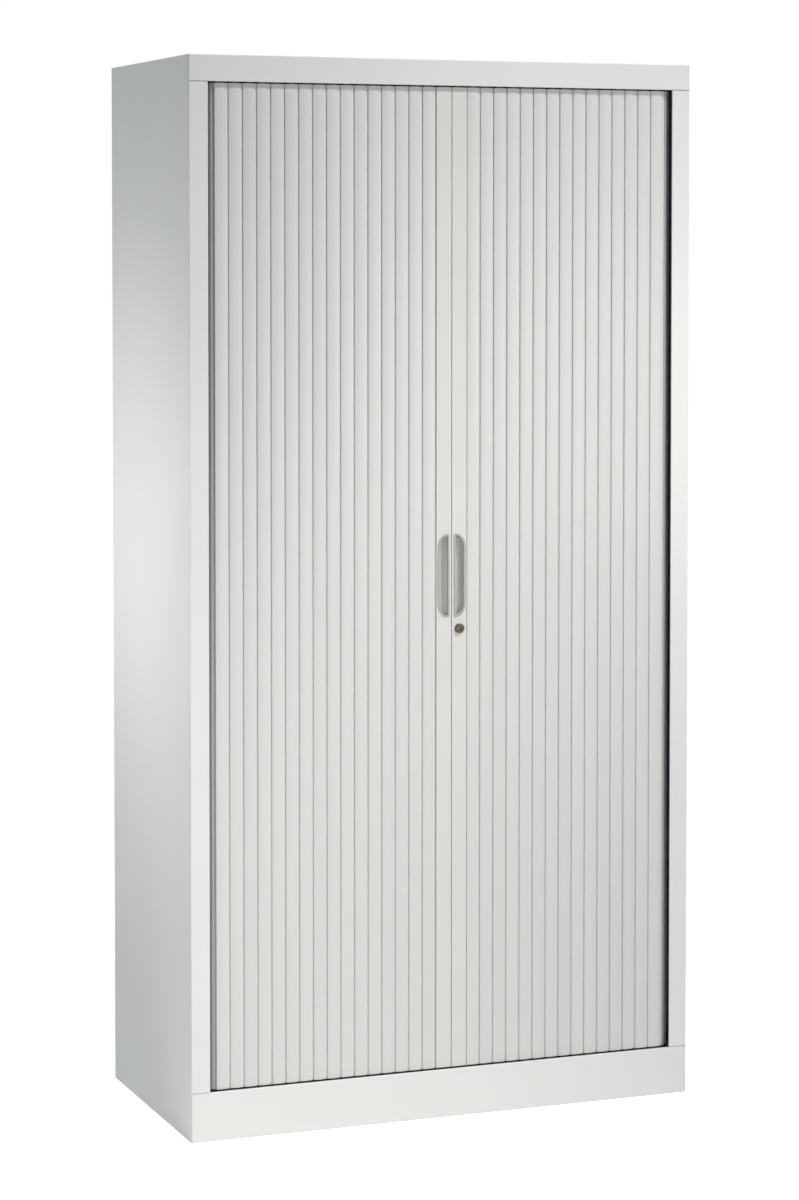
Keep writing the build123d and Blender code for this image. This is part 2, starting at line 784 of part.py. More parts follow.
def lock_hook_screw():
    """Screw that holds the hook on the plug."""
    x = lock_centre_x()
    behind = hook_plane() + hook_plate
    length = hook_screw_depth - hook_screw_tip_gap + hook_plate
    shank = rod(hook_screw_radius, (x, behind - length, lock_height), length, (0, 1, 0))
    head = rod(hook_screw_head_radius, (x, behind, lock_height), hook_screw_head, (0, 1, 0))
    return shank + head


def lock_nut():
    """Hexagon nut on the barrel, behind the leading strip's face."""
    x = lock_centre_x()
    section = RegularPolygon(lock_nut_radius, 6) - Circle(lock_barrel_radius)
    plane = Plane((x, face + lead_front_wall, lock_height), z_dir=(0, 1, 0))
    return extrude(plane * section, lock_nut_thickness)


def lock_keeper():
    """Steel plate inside the left leading strip, behind which the hook's nose catches."""
    _, right = left_lead_span()
    x = (right - lead_wall - keeper_thickness, right - lead_wall)
    y = (face + lead_front_wall + glider_play, lead_back - lead_wall - glider_play)
    middle = lock_height - keeper_drop
    z = (middle - keeper_height / 2, middle + keeper_height / 2)
    plate = slab(x, y, z)
    mouth_y = (hook_plane() - hook_travel_play, hook_plane() + hook_plate + hook_travel_play)
    top = lock_height + hook_arm_width / 2 + keeper_mouth_play
    return plate - slab((x[0] - 1, x[1] + 1), mouth_y, (lock_height - hook_arm_length + 1, top))


# ---- Interior ----


def slot_points():
    """Centres of one inner wall's shelf slots, as depth and height."""
    y_front = inner_wall_front + slot_front_inset
    y_rear = back_panel_inside - slot_rear_inset
    rows = [base_height + first_slot + slot_pitch * row for row in range(slot_rows)]
    return [(y, z) for y in (y_front, y_rear) for z in rows]


def inner_wall_panel():
    """Left inner wall: closes the shutter's pocket and carries the shelf clips in its slots."""
    x = (-inner_wall, -inner_wall + sheet)
    y = (inner_wall_front, back_panel_inside - sheet_play)
    z = (base_height + sheet_play, ceiling_height - sheet_play)
    wall = slab(x, y, z)
    wall += slab((x[0], x[0] + inner_wall_front_flange), (y[0], y[0] + sheet), z)
    wall += slab((x[0], x[0] + sheet + inner_wall_flange), (y[1] - sheet, y[1]), z)
    tools = []
    for slot_y, slot_z in slot_points():
        span_y = (slot_y - slot_width / 2, slot_y + slot_width / 2)
        span_z = (slot_z - slot_height / 2, slot_z + slot_height / 2)
        tools.append(slab((x[0] - 1, x[1] + 1), span_y, span_z))
    return drill_back(wall - tools)


def shelf_rows():
    """Slot rows that the shelves hang in, evenly spaced between the floor and the ceiling."""
    return [shelf_row_step * number - floor_rows for number in range(1, shelf_count + 1)]


def shelf_bottom(row):
    """Height of the underside of a shelf that hangs on the clips of a slot row."""
    return base_height + first_slot + slot_pitch * row + clip_tab_height / 2 + clip_thickness


def shelf(row):
    """Steel shelf: a tray turned down at every edge, with returns at front and back."""
    half = inner_wall - sheet - shelf_side_play
    y = (inner_wall_front + sheet + shelf_front_gap, back_panel_inside - shelf_rear_gap)
    bottom = shelf_bottom(row)
    top = bottom + shelf_height
    tray = slab((-half, half), y, (bottom, top))
    inside = slab((-half + sheet, half - sheet), (y[0] + sheet, y[1] - sheet), (bottom + sheet, top - sheet))
    mouth_y = (y[0] + shelf_return, y[1] - shelf_return)
    mouth = slab((-half + sheet, half - sheet), mouth_y, (bottom - 1, bottom + 2 * sheet))
    tray = tray - inside - mouth
    return rounded_edges(tray, Axis.X, fold_radius, ((Axis.Y, y[0]), (Axis.Z, top)))


def shelf_clips():
    """Four sheet-steel clips for each shelf, hooked into the wall slots."""
    clips = []
    inside = -inner_wall + sheet
    for row in shelf_rows():
        top = shelf_bottom(row)
        for slot_y, _ in slot_points()[:: slot_rows]:
            y = (slot_y - clip_width / 2, slot_y + clip_width / 2)
            ledge = slab((inside + clip_play, inside + clip_ledge), y, (top - clip_thickness, top))
            drop = (top - shelf_height / 2, top)
            plate = slab((inside + clip_play, inside + clip_play + clip_plate_thickness), y, drop)
            tab_y = (slot_y - clip_tab_width / 2, slot_y + clip_tab_width / 2)
            tab_z = (top - clip_thickness - clip_tab_height, top - clip_thickness)
            tab = slab((-inner_wall - clip_tab_reach, inside + clip_play), tab_y, tab_z)
            clip = (ledge + plate + tab).solid()
            clips += [clip, mirrored(clip)]
    return clips


# ---- Levelling feet ----


def foot_places():
    """Plan places of the four levelling feet."""
    x = half_width - foot_inset_x
    y = cabinet_depth / 2 - foot_inset_y
    return [(side * x, end * y) for side in (-1, 1) for end in (-1, 1)]


def foot_brackets():
    """Corner plates, welded to the side panels, that carry the foot nuts."""
    brackets = []
    for x, y in foot_places():
        side = 1 if x > 0 else -1
        wall = side_inside
        span_y = (y - foot_bracket_width / 2, y + foot_bracket_width / 2)
        z = (foot_bracket_height - sheet, foot_bracket_height)
        plate_x = sorted((side * wall, x - side * foot_bracket_width / 2))
        weld_x = sorted((side * wall, side * (wall - sheet)))
        plate = slab(plate_x, span_y, z)
        plate += slab(weld_x, span_y, (foot_bracket_height - sheet, foot_bracket_height + edge_flange / 2))
        plate -= rod(foot_stud_radius + foot_thread_play, (x, y, z[0] - 1), sheet + 2)
        brackets.append(plate.solid())
    return brackets


def foot_nuts():
    """Weld nuts under the corner plates."""
    nuts = []
    for x, y in foot_places():
        bottom = foot_bracket_height - sheet - foot_nut_height
        section = RegularPolygon(foot_nut_radius, 6) - Circle(foot_stud_radius + foot_thread_play)
        nuts.append((Pos(x, y, bottom) * extrude(section, foot_nut_height)).solid())
    return nuts


def foot_stud(x, y):
    """Threaded stud with a hexagon socket in its top."""
    bottom = foot_pad_height / 2
    stud = rod(foot_stud_radius, (x, y, bottom), foot_stud_top - bottom)
    stud = chamfer(stud.edges().sort_by(Axis.Z)[-1], foot_stud_radius / 8)
    hexagon = RegularPolygon(foot_stud_radius / 2, 6)
    return stud - Pos(x, y, foot_stud_top - foot_stud_socket) * extrude(hexagon, foot_stud_radius)


def foot_pad(x, y):
    """Plastic pad, moulded round the stud's lower end."""
    pad = rod(foot_pad_radius, (x, y, 0), foot_pad_height)
    pad = fillet(pad.edges().sort_by(Axis.Z)[-1], foot_pad_height / 4)
    return pad - rod(foot_stud_radius, (x, y, foot_pad_height / 2), foot_pad_height)


def foot_access_caps():
    """Snap-in caps that close the holes above the feet."""
    caps = []
    for x, y in foot_places():
        head = rod(cap_head_radius, (x, y, base_height), cap_head)
        head = fillet(head.edges().sort_by(Axis.Z)[-1], cap_edge_radius)
        outer = foot_access_radius - sheet_play
        plug = rod(outer, (x, y, base_height - cap_plug_depth), cap_plug_depth)
        plug -= rod(outer - cap_wall, (x, y, base_height - cap_plug_depth), cap_plug_depth)
        caps.append((head + plug).solid())
    return caps


def main():
    """Build every piece and write it."""
    os.makedirs("parts", exist_ok=True)

    left_side = side_panel()
    write("left_side_panel", left_side)
    write("right_side_panel", mirrored(left_side))
    write("top_panel", top_panel())
    write("ceiling_panel", ceiling_panel())
    write("base_panel", base_panel())
    write("plinth_front", plinth_front())
    write("plinth_rear", plinth_rear())
    write("back_panel", back_panel())
    write("back_stiffener", rear_stiffener())
    write("back_rivets", back_rivets())

    left_wall = inner_wall_panel()
    write("left_inner_wall", left_wall)
    write("right_inner_wall", mirrored(left_wall))
    for number, row in enumerate(shelf_rows(), start=1):
        write(f"shelf_{number}", shelf(row))
    write("shelf_clips", shelf_clips())

    for level in ("lower", "upper"):
        left_track = track(level == "upper")
        write(f"{level}_left_track", left_track)
        write(f"{level}_right_track", mirrored(left_track))
        write(f"{level}_track_rivets", track_rivets(level == "upper"))
    write("track_end_stops", end_stops())

    pattern = slat()
    write("left_shutter_slats", flat_slats(pattern, -curtain_half, left_slat_count))
    write("right_shutter_slats", flat_slats(pattern, meeting_x + lead_width, right_slat_count))
    write("left_tail_slats", left_tail(pattern))
    write("right_tail_slats", right_tail(pattern))

    write("left_lead_strip", left_lead_strip())
    write("right_lead_strip", right_lead_strip())
    write("left_lead_gliders", gliders(*left_lead_span()))
    write("right_lead_gliders", gliders(*right_lead_span()))
    right_shell = finger_shell()
    write("left_finger_shell", across_meeting(right_shell))
    write("right_finger_shell", right_shell)

    write("lock_housing", lock_housing())
    write("lock_plug", lock_plug())
    write("lock_hook", lock_hook())
    write("lock_hook_screw", lock_hook_screw())
    write("lock_nut", lock_nut())
    write("lock_keeper", lock_keeper())

    write("foot_brackets", foot_brackets())
    write("foot_nuts", foot_nuts())
    write("foot_access_caps", foot_access_caps())
    names = ("left_front", "left_rear", "right_front", "right_rear")
    for name, place in zip(names, foot_places()):
        write(f"{name}_foot_stud", foot_stud(*place))
        write(f"{name}_foot_pad", foot_pad(*place))


main()
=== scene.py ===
"""Roll front tool cabinet: finishes, shutters, grips, lock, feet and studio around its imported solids.

Metres, +Z up, the front faces -Y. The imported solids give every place.
"""

import math

import bmesh
import bpy
from bpy.props import FloatProperty, FloatVectorProperty, IntProperty, PointerProperty
from mathutils import Matrix, Vector


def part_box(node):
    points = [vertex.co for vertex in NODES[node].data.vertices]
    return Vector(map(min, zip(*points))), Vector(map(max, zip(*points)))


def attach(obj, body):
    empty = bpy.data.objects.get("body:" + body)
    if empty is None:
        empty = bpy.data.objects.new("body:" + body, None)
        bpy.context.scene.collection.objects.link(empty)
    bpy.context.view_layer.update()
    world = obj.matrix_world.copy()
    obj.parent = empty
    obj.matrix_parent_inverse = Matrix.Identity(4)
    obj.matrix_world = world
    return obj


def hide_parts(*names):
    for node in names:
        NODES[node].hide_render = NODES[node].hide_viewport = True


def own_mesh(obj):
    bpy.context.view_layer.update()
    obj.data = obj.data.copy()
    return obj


bl_info = {
    "name": "Roll front tool cabinet",
    "version": (1, 0, 0),
    "blender": (4, 5, 0),
    "location": "3D View > Sidebar > Cabinet",
    "description": "Builds the finishes and the detailed pieces of a cabinet with two tambour shutters",
    "category": "Object",
}

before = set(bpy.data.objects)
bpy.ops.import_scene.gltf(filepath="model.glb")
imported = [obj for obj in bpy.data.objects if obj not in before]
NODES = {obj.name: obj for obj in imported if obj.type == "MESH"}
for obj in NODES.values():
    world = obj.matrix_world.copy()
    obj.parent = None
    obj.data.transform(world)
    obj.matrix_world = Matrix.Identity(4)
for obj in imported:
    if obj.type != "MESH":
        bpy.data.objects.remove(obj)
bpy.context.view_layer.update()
MM = 0.001

LEFT_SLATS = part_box("left_shutter_slats")
RIGHT_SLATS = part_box("right_shutter_slats")
RIGHT_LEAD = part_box("right_lead_strip")
LEFT_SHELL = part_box("left_finger_shell")
RIGHT_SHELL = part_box("right_finger_shell")
LOCK_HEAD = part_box("lock_housing")
LOCK_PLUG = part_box("lock_plug")

WHITE = (1.0, 1.0, 1.0)
# Near black painted on the slats' end tongues as the shade inside the tracks.
TONGUE_SHADE_COLOUR = (0.045, 0.05, 0.045)
# Painted shade: the slats round the corners, which lie in the posts' shade, are darkened against those on the
# front. Painted light: the grips' recess is lightened against their rim.
TAIL_SHADE_LEVEL = 0.62
RECESS_LIGHT_LEVEL = 1.42
TAIL_COUNT = 3


# ---- Sizes and colours ----


def size(name, description, default):
    """A length in metres, shown in the scene's own unit."""
    return FloatProperty(name=name, description=description, default=default, unit="LENGTH", precision=5)


def tint(name, description, default):
    """A scene-linear colour."""
    return FloatVectorProperty(
        name=name, description=description, default=default, size=3, min=0.0, max=1.0, subtype="COLOR"
    )


def lamp_power(name, description, default):
    """A lamp's power in watts."""
    return FloatProperty(name=name, description=description, default=default, min=0.0, unit="POWER")


class ShutterSizes(bpy.types.PropertyGroup):
    """Section of one slat, seen from above."""

    pitch: size("Slat pitch", "Distance between the hinge lines of two slats", 27 * MM)
    hinge_depth: size("Hinge depth", "Depth of the hinge line behind the face", 5.6 * MM)
    depth: size("Slat depth", "Depth of a slat from its face to its back", 8.2 * MM)
    edge_gap: size("Edge gap", "Gap at a slat's left edge", 0.4 * MM)
    edge_radius: size("Edge radius", "Radius of a slat's left front edge", 0.7 * MM)
    nose_radius: size("Nose radius", "Radius of a slat's rounded right side", 6.5 * MM)
    nose_drop: size("Nose drop", "How far the rounded side falls back from the face", 2.2 * MM)
    crown: size("Crown", "How far the middle of a slat's face stands before its edges", 0.8 * MM)
    skin: size("Skin", "Thickness of a slat's face", 1.8 * MM)
    web: size("Web", "Thickness of a slat's inner ribs", 2.2 * MM)
    overhang: size("Overhang", "Thickness of the face where it covers the next socket", 2.3 * MM)
    hook_radius: size("Hook radius", "Radius of the bead on a slat's left edge", 1.2 * MM)
    hook_play: size("Hook play", "Gap between a bead and its socket", 0.25 * MM)
    hook_wall: size("Socket wall", "Wall of the socket on a slat's right edge", 1.15 * MM)
    hook_neck: size("Hook neck", "Thickness of the strip that carries the bead", 1.1 * MM)
    tongue_width: size("Tongue width", "Width of the end tongues that run in the tracks", 12 * MM)
    tongue_thickness: size("Tongue thickness", "Thickness of the end tongues", 3 * MM)
    tongue_length: size("Tongue length", "Length of the end tongues", 9 * MM)
    nose_steps: IntProperty(name="Nose steps", description="Faces round the rounded side", default=12, min=4)


class GripSizes(bpy.types.PropertyGroup):
    """The two moulded finger shells."""

    rim: size("Rim width", "Width of the rim on the shutter's face", 3.5 * MM)
    rim_round: size("Rim rounding", "Radius of the rim's edges", 0.42 * MM)
    inner_radius: size("Inner corners", "Radius of the corners towards the meeting line", 2.5 * MM)
    shoulder_width: size("Shoulder width", "Width of the curved shoulders", 14.2 * MM)
    shoulder_height: size("Shoulder height", "Height of the curved shoulders", 24 * MM)
    floor_depth: size("Floor depth", "Depth of the recess behind the shutter's face", 11.2 * MM)
    ramp_start: size("Ramp start", "Depth at which the recess starts to slope", 3.5 * MM)
    ramp_run: size("Ramp run", "Width of the slope at its ends", 5.5 * MM)
    ramp_bow: size("Ramp bow", "How much wider the slope is at mid height", 3.5 * MM)
    wall: size("Wall", "Wall of the moulding", 1.3 * MM)


class LockSizes(bpy.types.PropertyGroup):
    """Lock head and turning plug."""

    head_round: size("Head rounding", "Radius of the head's front edge", 1.5 * MM)
    face_ring: size("Face ring", "Width of the turned ring round the plug", 1.1 * MM)
    face_sink: size("Face sink", "Depth of the dish inside that ring", 0.5 * MM)
    key_width: size("Keyway width", "Width of the key slot", 2.4 * MM)
    key_height: size("Keyway height", "Height of the key slot", 7 * MM)
    key_depth: size("Keyway depth", "Depth of the key slot", 7.5 * MM)


class FootSizes(bpy.types.PropertyGroup):
    """Levelling feet."""

    thread_pitch: size("Thread pitch", "Rise of the thread in one turn", 1.25 * MM)
    thread_depth: size("Thread depth", "Depth of the thread", 0.68 * MM)
    pad_grooves: IntProperty(name="Pad grooves", description="Grip grooves round a pad", default=18, min=3)


class Colours(bpy.types.PropertyGroup):
    """Colours of the finishes."""

    paint: tint("Paint", "Powder coat of the steel panels", (0.742, 0.748, 0.740))
    slat_cool: tint("Cool slat", "Greyest of the slats", (0.630, 0.634, 0.627))
    slat_warm: tint("Warm slat", "Warmest of the slats", (0.658, 0.657, 0.648))
    lead: tint("Leading strip", "Leading strips", (0.665, 0.668, 0.650))
    grip: tint("Grip", "Finger shells", (0.385, 0.38, 0.37))
    # Painted reflection: the nickel's colour is set dark to stand for the dark surroundings that its head
    # reflects.
    nickel: tint("Nickel", "Lock head and plug", (0.075, 0.062, 0.045))
    zinc: tint("Zinc", "Plated fittings", (0.56, 0.575, 0.585))
    aluminium: tint("Aluminium", "Rivets", (0.68, 0.685, 0.69))
    black: tint("Black plastic", "Tracks and foot pads", (0.018, 0.018, 0.019))
    rubber: tint("Rubber", "End stops", (0.026, 0.025, 0.024))


class StudioSettings(bpy.types.PropertyGroup):
    """Camera, lamps and floor."""

    camera_place: FloatVectorProperty(
        name="Camera place", description="Where the camera stands",
        default=(-2.234, -5.791, 1.634), subtype="XYZ",
    )
    camera_yaw: FloatProperty(
        name="Yaw", description="Turn towards +X", default=math.radians(21.12), subtype="ANGLE"
    )
    camera_pitch: FloatProperty(
        name="Pitch", description="Turn downwards", default=math.radians(2.45), subtype="ANGLE"
    )
    lens: FloatProperty(name="Lens", description="Focal length", default=96.39, unit="CAMERA")
    rise: FloatProperty(name="Lens rise", description="Vertical shift of the lens", default=-0.18)
    world_level: FloatProperty(
        name="World level", description="Strength of the light all round", default=0.25
    )
    world_cast: tint("World cast", "Colour of the light all round", (0.88, 0.985, 1.0))
    lamp_cast: tint("Lamp cast", "Colour of the lamps", (1.0, 0.958, 0.938))
    key_level: lamp_power("Key lamp", "High lamp in front on the right", 12.6)
    key_spread: FloatProperty(
        name="Key spread", description="How wide the key lamp shines",
        default=math.radians(46), subtype="ANGLE",
    )
    side_level: lamp_power("Side lamp", "Lamp beside the left panel", 3.5)
    right_level: lamp_power("Right lamp", "Soft lamp in front of the right shutter", 5.4)
    low_level: lamp_power("Low lamp", "Soft lamp low in front", 5.5)
    corner_level: lamp_power("Corner lamp", "Soft lamp in front of the left corner", 4.6)
    floor: tint("Floor", "Colour of the floor", (0.86, 0.86, 0.86))


# ---- Shader groups and materials ----


class Wiring:
    """Adds nodes to one tree and joins them."""

    def __init__(self, tree):
        self.tree = tree

    def node(self, kind, settings=None, **inputs):
        """A node of a kind, with its settings, and its inputs set or joined; _ stands for a space."""
        made = self.tree.nodes.new(kind)
        for name, value in (settings or {}).items():
            setattr(made, name, value)
        for name, value in inputs.items():
            self.feed(made, name.replace("_", " "), value)
        return made

    def feed(self, node, name, value):
        """Set or join one input, by its name or its place."""
        socket = node.inputs[name]
        if isinstance(value, bpy.types.NodeSocket):
            self.tree.links.new(value, socket)
        elif isinstance(value, tuple) and len(value) == 3 and socket.type == "RGBA":
            socket.default_value = (*value, 1.0)
        else:
            socket.default_value = value

    def math(self, operation, first, second=0.5):
        """One sum of one or two values."""
        made = self.node("ShaderNodeMath", {"operation": operation})
        self.feed(made, 0, first)
        self.feed(made, 1, second)
        return made.outputs[0]

    def times(self, first, second):
        """The product of two values."""
        return self.math("MULTIPLY", first, second)

    def plus(self, first, second):
        """Two values added."""
        return self.math("ADD", first, second)

    def mix(self, factor, first, second):
        """A blend of two colours."""
        made = self.node("ShaderNodeMix", {"data_type": "RGBA"})
        for place, value in ((0, factor), (6, first), (7, second)):
            self.feed(made, place, value)
        return made.outputs[2]

    def over(self, base, mask, amount, colour):
        """A base colour with some of another colour over it, where a mask lets it."""
        return self.mix(self.times(mask, amount), base, colour)

    def spread(self, value, low, high, to_low=0.0, to_high=1.0):
        """A value mapped from one span to another."""
        ends = {"From Min": low, "From Max": high, "To Min": to_low, "To Max": to_high}
        return self.node("ShaderNodeMapRange", Value=value, **ends).outputs[0]

    def noise(self, vector, scale, detail=2.0, roughness=0.5):
        """Soft noise between 0 and 1."""
        made = self.node("ShaderNodeTexNoise", Vector=vector, Scale=scale, Detail=detail, Roughness=roughness)
        return made.outputs["Fac"]

    def placed(self, vector, scale=(1, 1, 1), location=(0, 0, 0), turn=(0, 0, 0)):
        """A vector moved, turned and stretched."""
        made = self.node("ShaderNodeMapping", Vector=vector, Location=location, Rotation=turn, Scale=scale)
        return made.outputs[0]

    def apart(self, vector):
        """The three numbers of a vector, as outputs X, Y and Z."""
        return self.node("ShaderNodeSeparateXYZ", Vector=vector).outputs


def new_group(name, inputs, outputs):
    """An empty shader group with named inputs and outputs, and the wiring to fill it."""
    tree = bpy.data.node_groups.new(name, "ShaderNodeTree")
    kinds = {"value": "NodeSocketFloat", "vector": "NodeSocketVector", "colour": "NodeSocketColor"}
    for label, kind, default in inputs:
        socket = tree.interface.new_socket(name=label, in_out="INPUT", socket_type=kinds[kind])
        if default is not None:
            socket.default_value = default
    for label, kind in outputs:
        tree.interface.new_socket(name=label, in_out="OUTPUT", socket_type=kinds[kind])
    start = tree.nodes.new("NodeGroupInput")
    end = tree.nodes.new("NodeGroupOutput")
    return tree, Wiring(tree), start.outputs, end


def orange_peel_group():
    """Surface of a powder coat: a shallow rolling skin with fine pimples."""
    tree, w, given, end = new_group(
        "orange_peel",
        (("Vector", "vector", None),),
        (("Height", "value"), ("Speckle", "value")),
    )
    rolling = w.noise(given["Vector"], 420.0, 1.0)
    pimples = w.noise(given["Vector"], 1500.0, 2.0)
    speckle = w.noise(given["Vector"], 2600.0, 1.0)
    height = w.plus(w.times(rolling, 0.65), w.times(pimples, 0.35))
    w.feed(end, "Height", height)
    w.feed(end, "Speckle", w.spread(speckle, 0.58, 0.74))
    return tree


def drawn_lines_group():
    """Fine lines along Z that an extrusion die leaves, and slow waves in its tone."""
    tree, w, given, end = new_group(
        "drawn_lines",
        (("Vector", "vector", None),),
        (("Height", "value"), ("Tone", "value")),
    )
    lines = w.noise(w.placed(given["Vector"], (2300.0, 2300.0, 1.6)), 1.0, 3.0, 0.6)
    grain = w.noise(given["Vector"], 3200.0, 1.0)
    waves = w.noise(w.placed(given["Vector"], (26.0, 26.0, 1.9)), 1.0, 2.0)
    w.feed(end, "Height", w.plus(w.times(lines, 0.7), w.times(grain, 0.3)))
    w.feed(end, "Tone", waves)
    return tree


def worn_and_highlit_edges_group():
    """Mask of the outer edges that hands and cloths wear, which the finishes also use to paint highlights
    along them.
    """
    tree, w, given, end = new_group(
        "rubbed_edges",
        (("Vector", "vector", None), ("Reach", "value", 0.001), ("Breakup", "value", 60.0)),
        (("Mask", "value"),),
    )
    soft = w.node("ShaderNodeBevel", {"samples": 4}, Radius=given["Reach"])
    plain = w.node("ShaderNodeNewGeometry")
    same = w.node("ShaderNodeVectorMath", {"operation": "DOT_PRODUCT"})
    w.feed(same, 0, soft.outputs[0])
    w.feed(same, 1, plain.outputs["Normal"])
    edge = w.spread(same.outputs["Value"], 0.995, 0.90)
    patchy = w.noise(given["Vector"], given["Breakup"], 3.0)
    w.feed(end, "Mask", w.times(edge, w.spread(patchy, 0.35, 0.65, 0.35, 1.0)))
    return tree


def settled_dust_group():
    """Mask of the fine dust that settles on faces that look up, patchy and thicker in still corners."""
    tree, w, given, end = new_group(
        "settled_dust",
        (("Vector", "vector", None), ("Amount", "value", 0.3)),
        (("Mask", "value"),),
    )
    plain = w.node("ShaderNodeNewGeometry")
    upward = w.spread(w.apart(plain.outputs["Normal"])["Z"], 0.55, 0.98)
    clouds = w.spread(w.noise(given["Vector"], 9.0, 4.0), 0.30, 0.72)
    specks = w.noise(given["Vector"], 700.0, 2.0)
    cover = w.times(clouds, w.spread(specks, 0.25, 0.75, 0.45, 1.0))
    w.feed(end, "Mask", w.times(w.times(upward, cover), given["Amount"]))
    return tree


def seam_shade_group():
    """Mask of painted shade in narrow seams and grooves, and in inner corners, found by occlusion and broken
    up in patches.
    """
    tree, w, given, end = new_group(
        "seam_grime",
        (("Vector", "vector", None), ("Reach", "value", 0.003)),
        (("Mask", "value"),),
    )
    shelter = w.node("ShaderNodeAmbientOcclusion", {"samples": 8}, Distance=given["Reach"])
    deep = w.spread(shelter.outputs["AO"], 0.80, 0.35)
    patchy = w.noise(given["Vector"], 35.0, 3.0)
    w.feed(end, "Mask", w.times(deep, w.spread(patchy, 0.3, 0.7, 0.75, 1.0)))
    return tree


GROUP_MAKERS = {
    "orange_peel": orange_peel_group,
    "drawn_lines": drawn_lines_group,
    "rubbed_edges": worn_and_highlit_edges_group,
    "settled_dust": settled_dust_group,
    "seam_grime": seam_shade_group,
}


class Finish(Wiring):
    """A material with one Principled BSDF, and the object's own coordinates."""

    def __init__(self, name):
        self.material = bpy.data.materials.new(name)
        self.material.use_nodes = True
        super().__init__(self.material.node_tree)
        self.shader = self.tree.nodes["Principled BSDF"]
        self.place = self.node("ShaderNodeTexCoord").outputs["Object"]

    def group(self, name, **inputs):
        """One of the shared groups, placed in this material."""
        tree = bpy.data.node_groups.get(name) or GROUP_MAKERS[name]()
        return self.node("ShaderNodeGroup", {"node_tree": tree}, Vector=self.place, **inputs).outputs

    def mask(self, name, **inputs):
        """The mask of one of the shared groups."""
        return self.group(name, **inputs)["Mask"]

    def relief(self, height, depth, strength=1.0):
        """A bump of a depth in metres, to the shader's normal."""
        bump = self.node("ShaderNodeBump", Height=height, Distance=depth, Strength=strength)
        self.feed(self.shader, "Normal", bump.outputs[0])

    def done(self, colour, roughness, metallic=0.0, specular=0.5):
        """Set or join the shader's main sockets."""
        self.feed(self.shader, "Base Color", colour)
        self.feed(self.shader, "Roughness", roughness)
        self.feed(self.shader, "Metallic", metallic)
        self.feed(self.shader, "Specular IOR Level", specular)
        return self.material


def shaded(colour, factor):
    """A colour made darker or lighter."""
    return tuple(min(1.0, channel * factor) for channel in colour)


def powder_coat(name, colour, dust):
    """Satin powder coat on sheet steel."""
    f = Finish(name)
    peel = f.group("orange_peel")
    wear_and_highlight = f.mask("rubbed_edges", Reach=1.1 * MM, Breakup=45.0)
    dusty = f.mask("settled_dust", Amount=dust)
    clouds = f.noise(f.place, 2.2, 3.0)
    base = f.mix(f.spread(clouds, 0.35, 0.65), shaded(colour, 0.975), shaded(colour, 1.015))
    base = f.over(base, peel["Speckle"], 0.10, shaded(colour, 0.80))
    # Edges are lightened as wear and as a painted highlight along the folds.
    base = f.over(base, wear_and_highlight, 0.30, shaded(colour, 1.18))
    # Painted shade: the coat is darkened in seams and inner corners where shade falls.
    seams = f.mask("seam_grime", Reach=2.6 * MM)
    base = f.over(base, seams, 0.75, shaded(colour, 0.22))
    base = f.mix(dusty, base, (0.62, 0.60, 0.56))
    smears = f.noise(f.placed(f.place, (5.0, 5.0, 2.0)), 1.0, 4.0, 0.6)
    rough = f.spread(smears, 0.3, 0.7, 0.30, 0.38)
    rough = f.plus(rough, f.times(dusty, 0.4))
    rough = f.math("SUBTRACT", rough, f.times(wear_and_highlight, 0.08))
    f.relief(peel["Height"], 0.02 * MM, 0.5)
    return f.done(base, rough)


def slat_plastic(name, colours, sizes, level=1.0):
    """Extruded satin plastic, with its own tone from slat to slat, a level that darkens it all as painted
    shade where asked, edges lighter from wear and painted highlight, painted shade in the grooves, and end
    tongues painted near black as the shade inside the tracks.
    """
    f = Finish(name)
    drawn = f.group("drawn_lines")
    wear_and_highlight = f.mask("rubbed_edges", Reach=0.8 * MM, Breakup=80.0)
    tone = f.node("ShaderNodeAttribute", {"attribute_name": "slat_tone"}).outputs["Fac"]
    base = f.mix(tone, shaded(colours.slat_cool, level), shaded(colours.slat_warm, level))
    base = f.mix(f.spread(drawn["Tone"], 0.3, 0.7, 0.0, 0.10), base, shaded(colours.slat_warm, 0.86 * level))
    # Painted shade in the grooves between slats; painted highlight on each slat's rounded side, with some
    # wear on the edges.
    seams = f.mask("seam_grime", Reach=1.5 * MM)
    base = f.over(base, wear_and_highlight, 0.45, shaded(colours.slat_warm, 1.3 * level))
    base = f.over(base, seams, 0.6, shaded(colours.slat_cool, 0.3 * level))
    # Painted shade: the end tongues, hidden in the tracks, are painted near black.
    height = f.apart(f.place)["Z"]
    middle = (LEFT_SLATS[0].z + LEFT_SLATS[1].z) / 2
    reach = (LEFT_SLATS[1].z - LEFT_SLATS[0].z) / 2 - sizes.tongue_length
    beyond = f.math("ABSOLUTE", f.math("SUBTRACT", height, middle))
    base = f.mix(f.spread(beyond, reach, reach + 0.4 * MM), base, TONGUE_SHADE_COLOUR)
    wiped = f.noise(f.placed(f.place, (3.0, 3.0, 1.2)), 1.0, 4.0, 0.6)
    rough = f.spread(wiped, 0.3, 0.7, 0.33, 0.42)
    f.relief(drawn["Height"], 0.012 * MM, 0.5)
    return f.done(base, rough, specular=0.45)


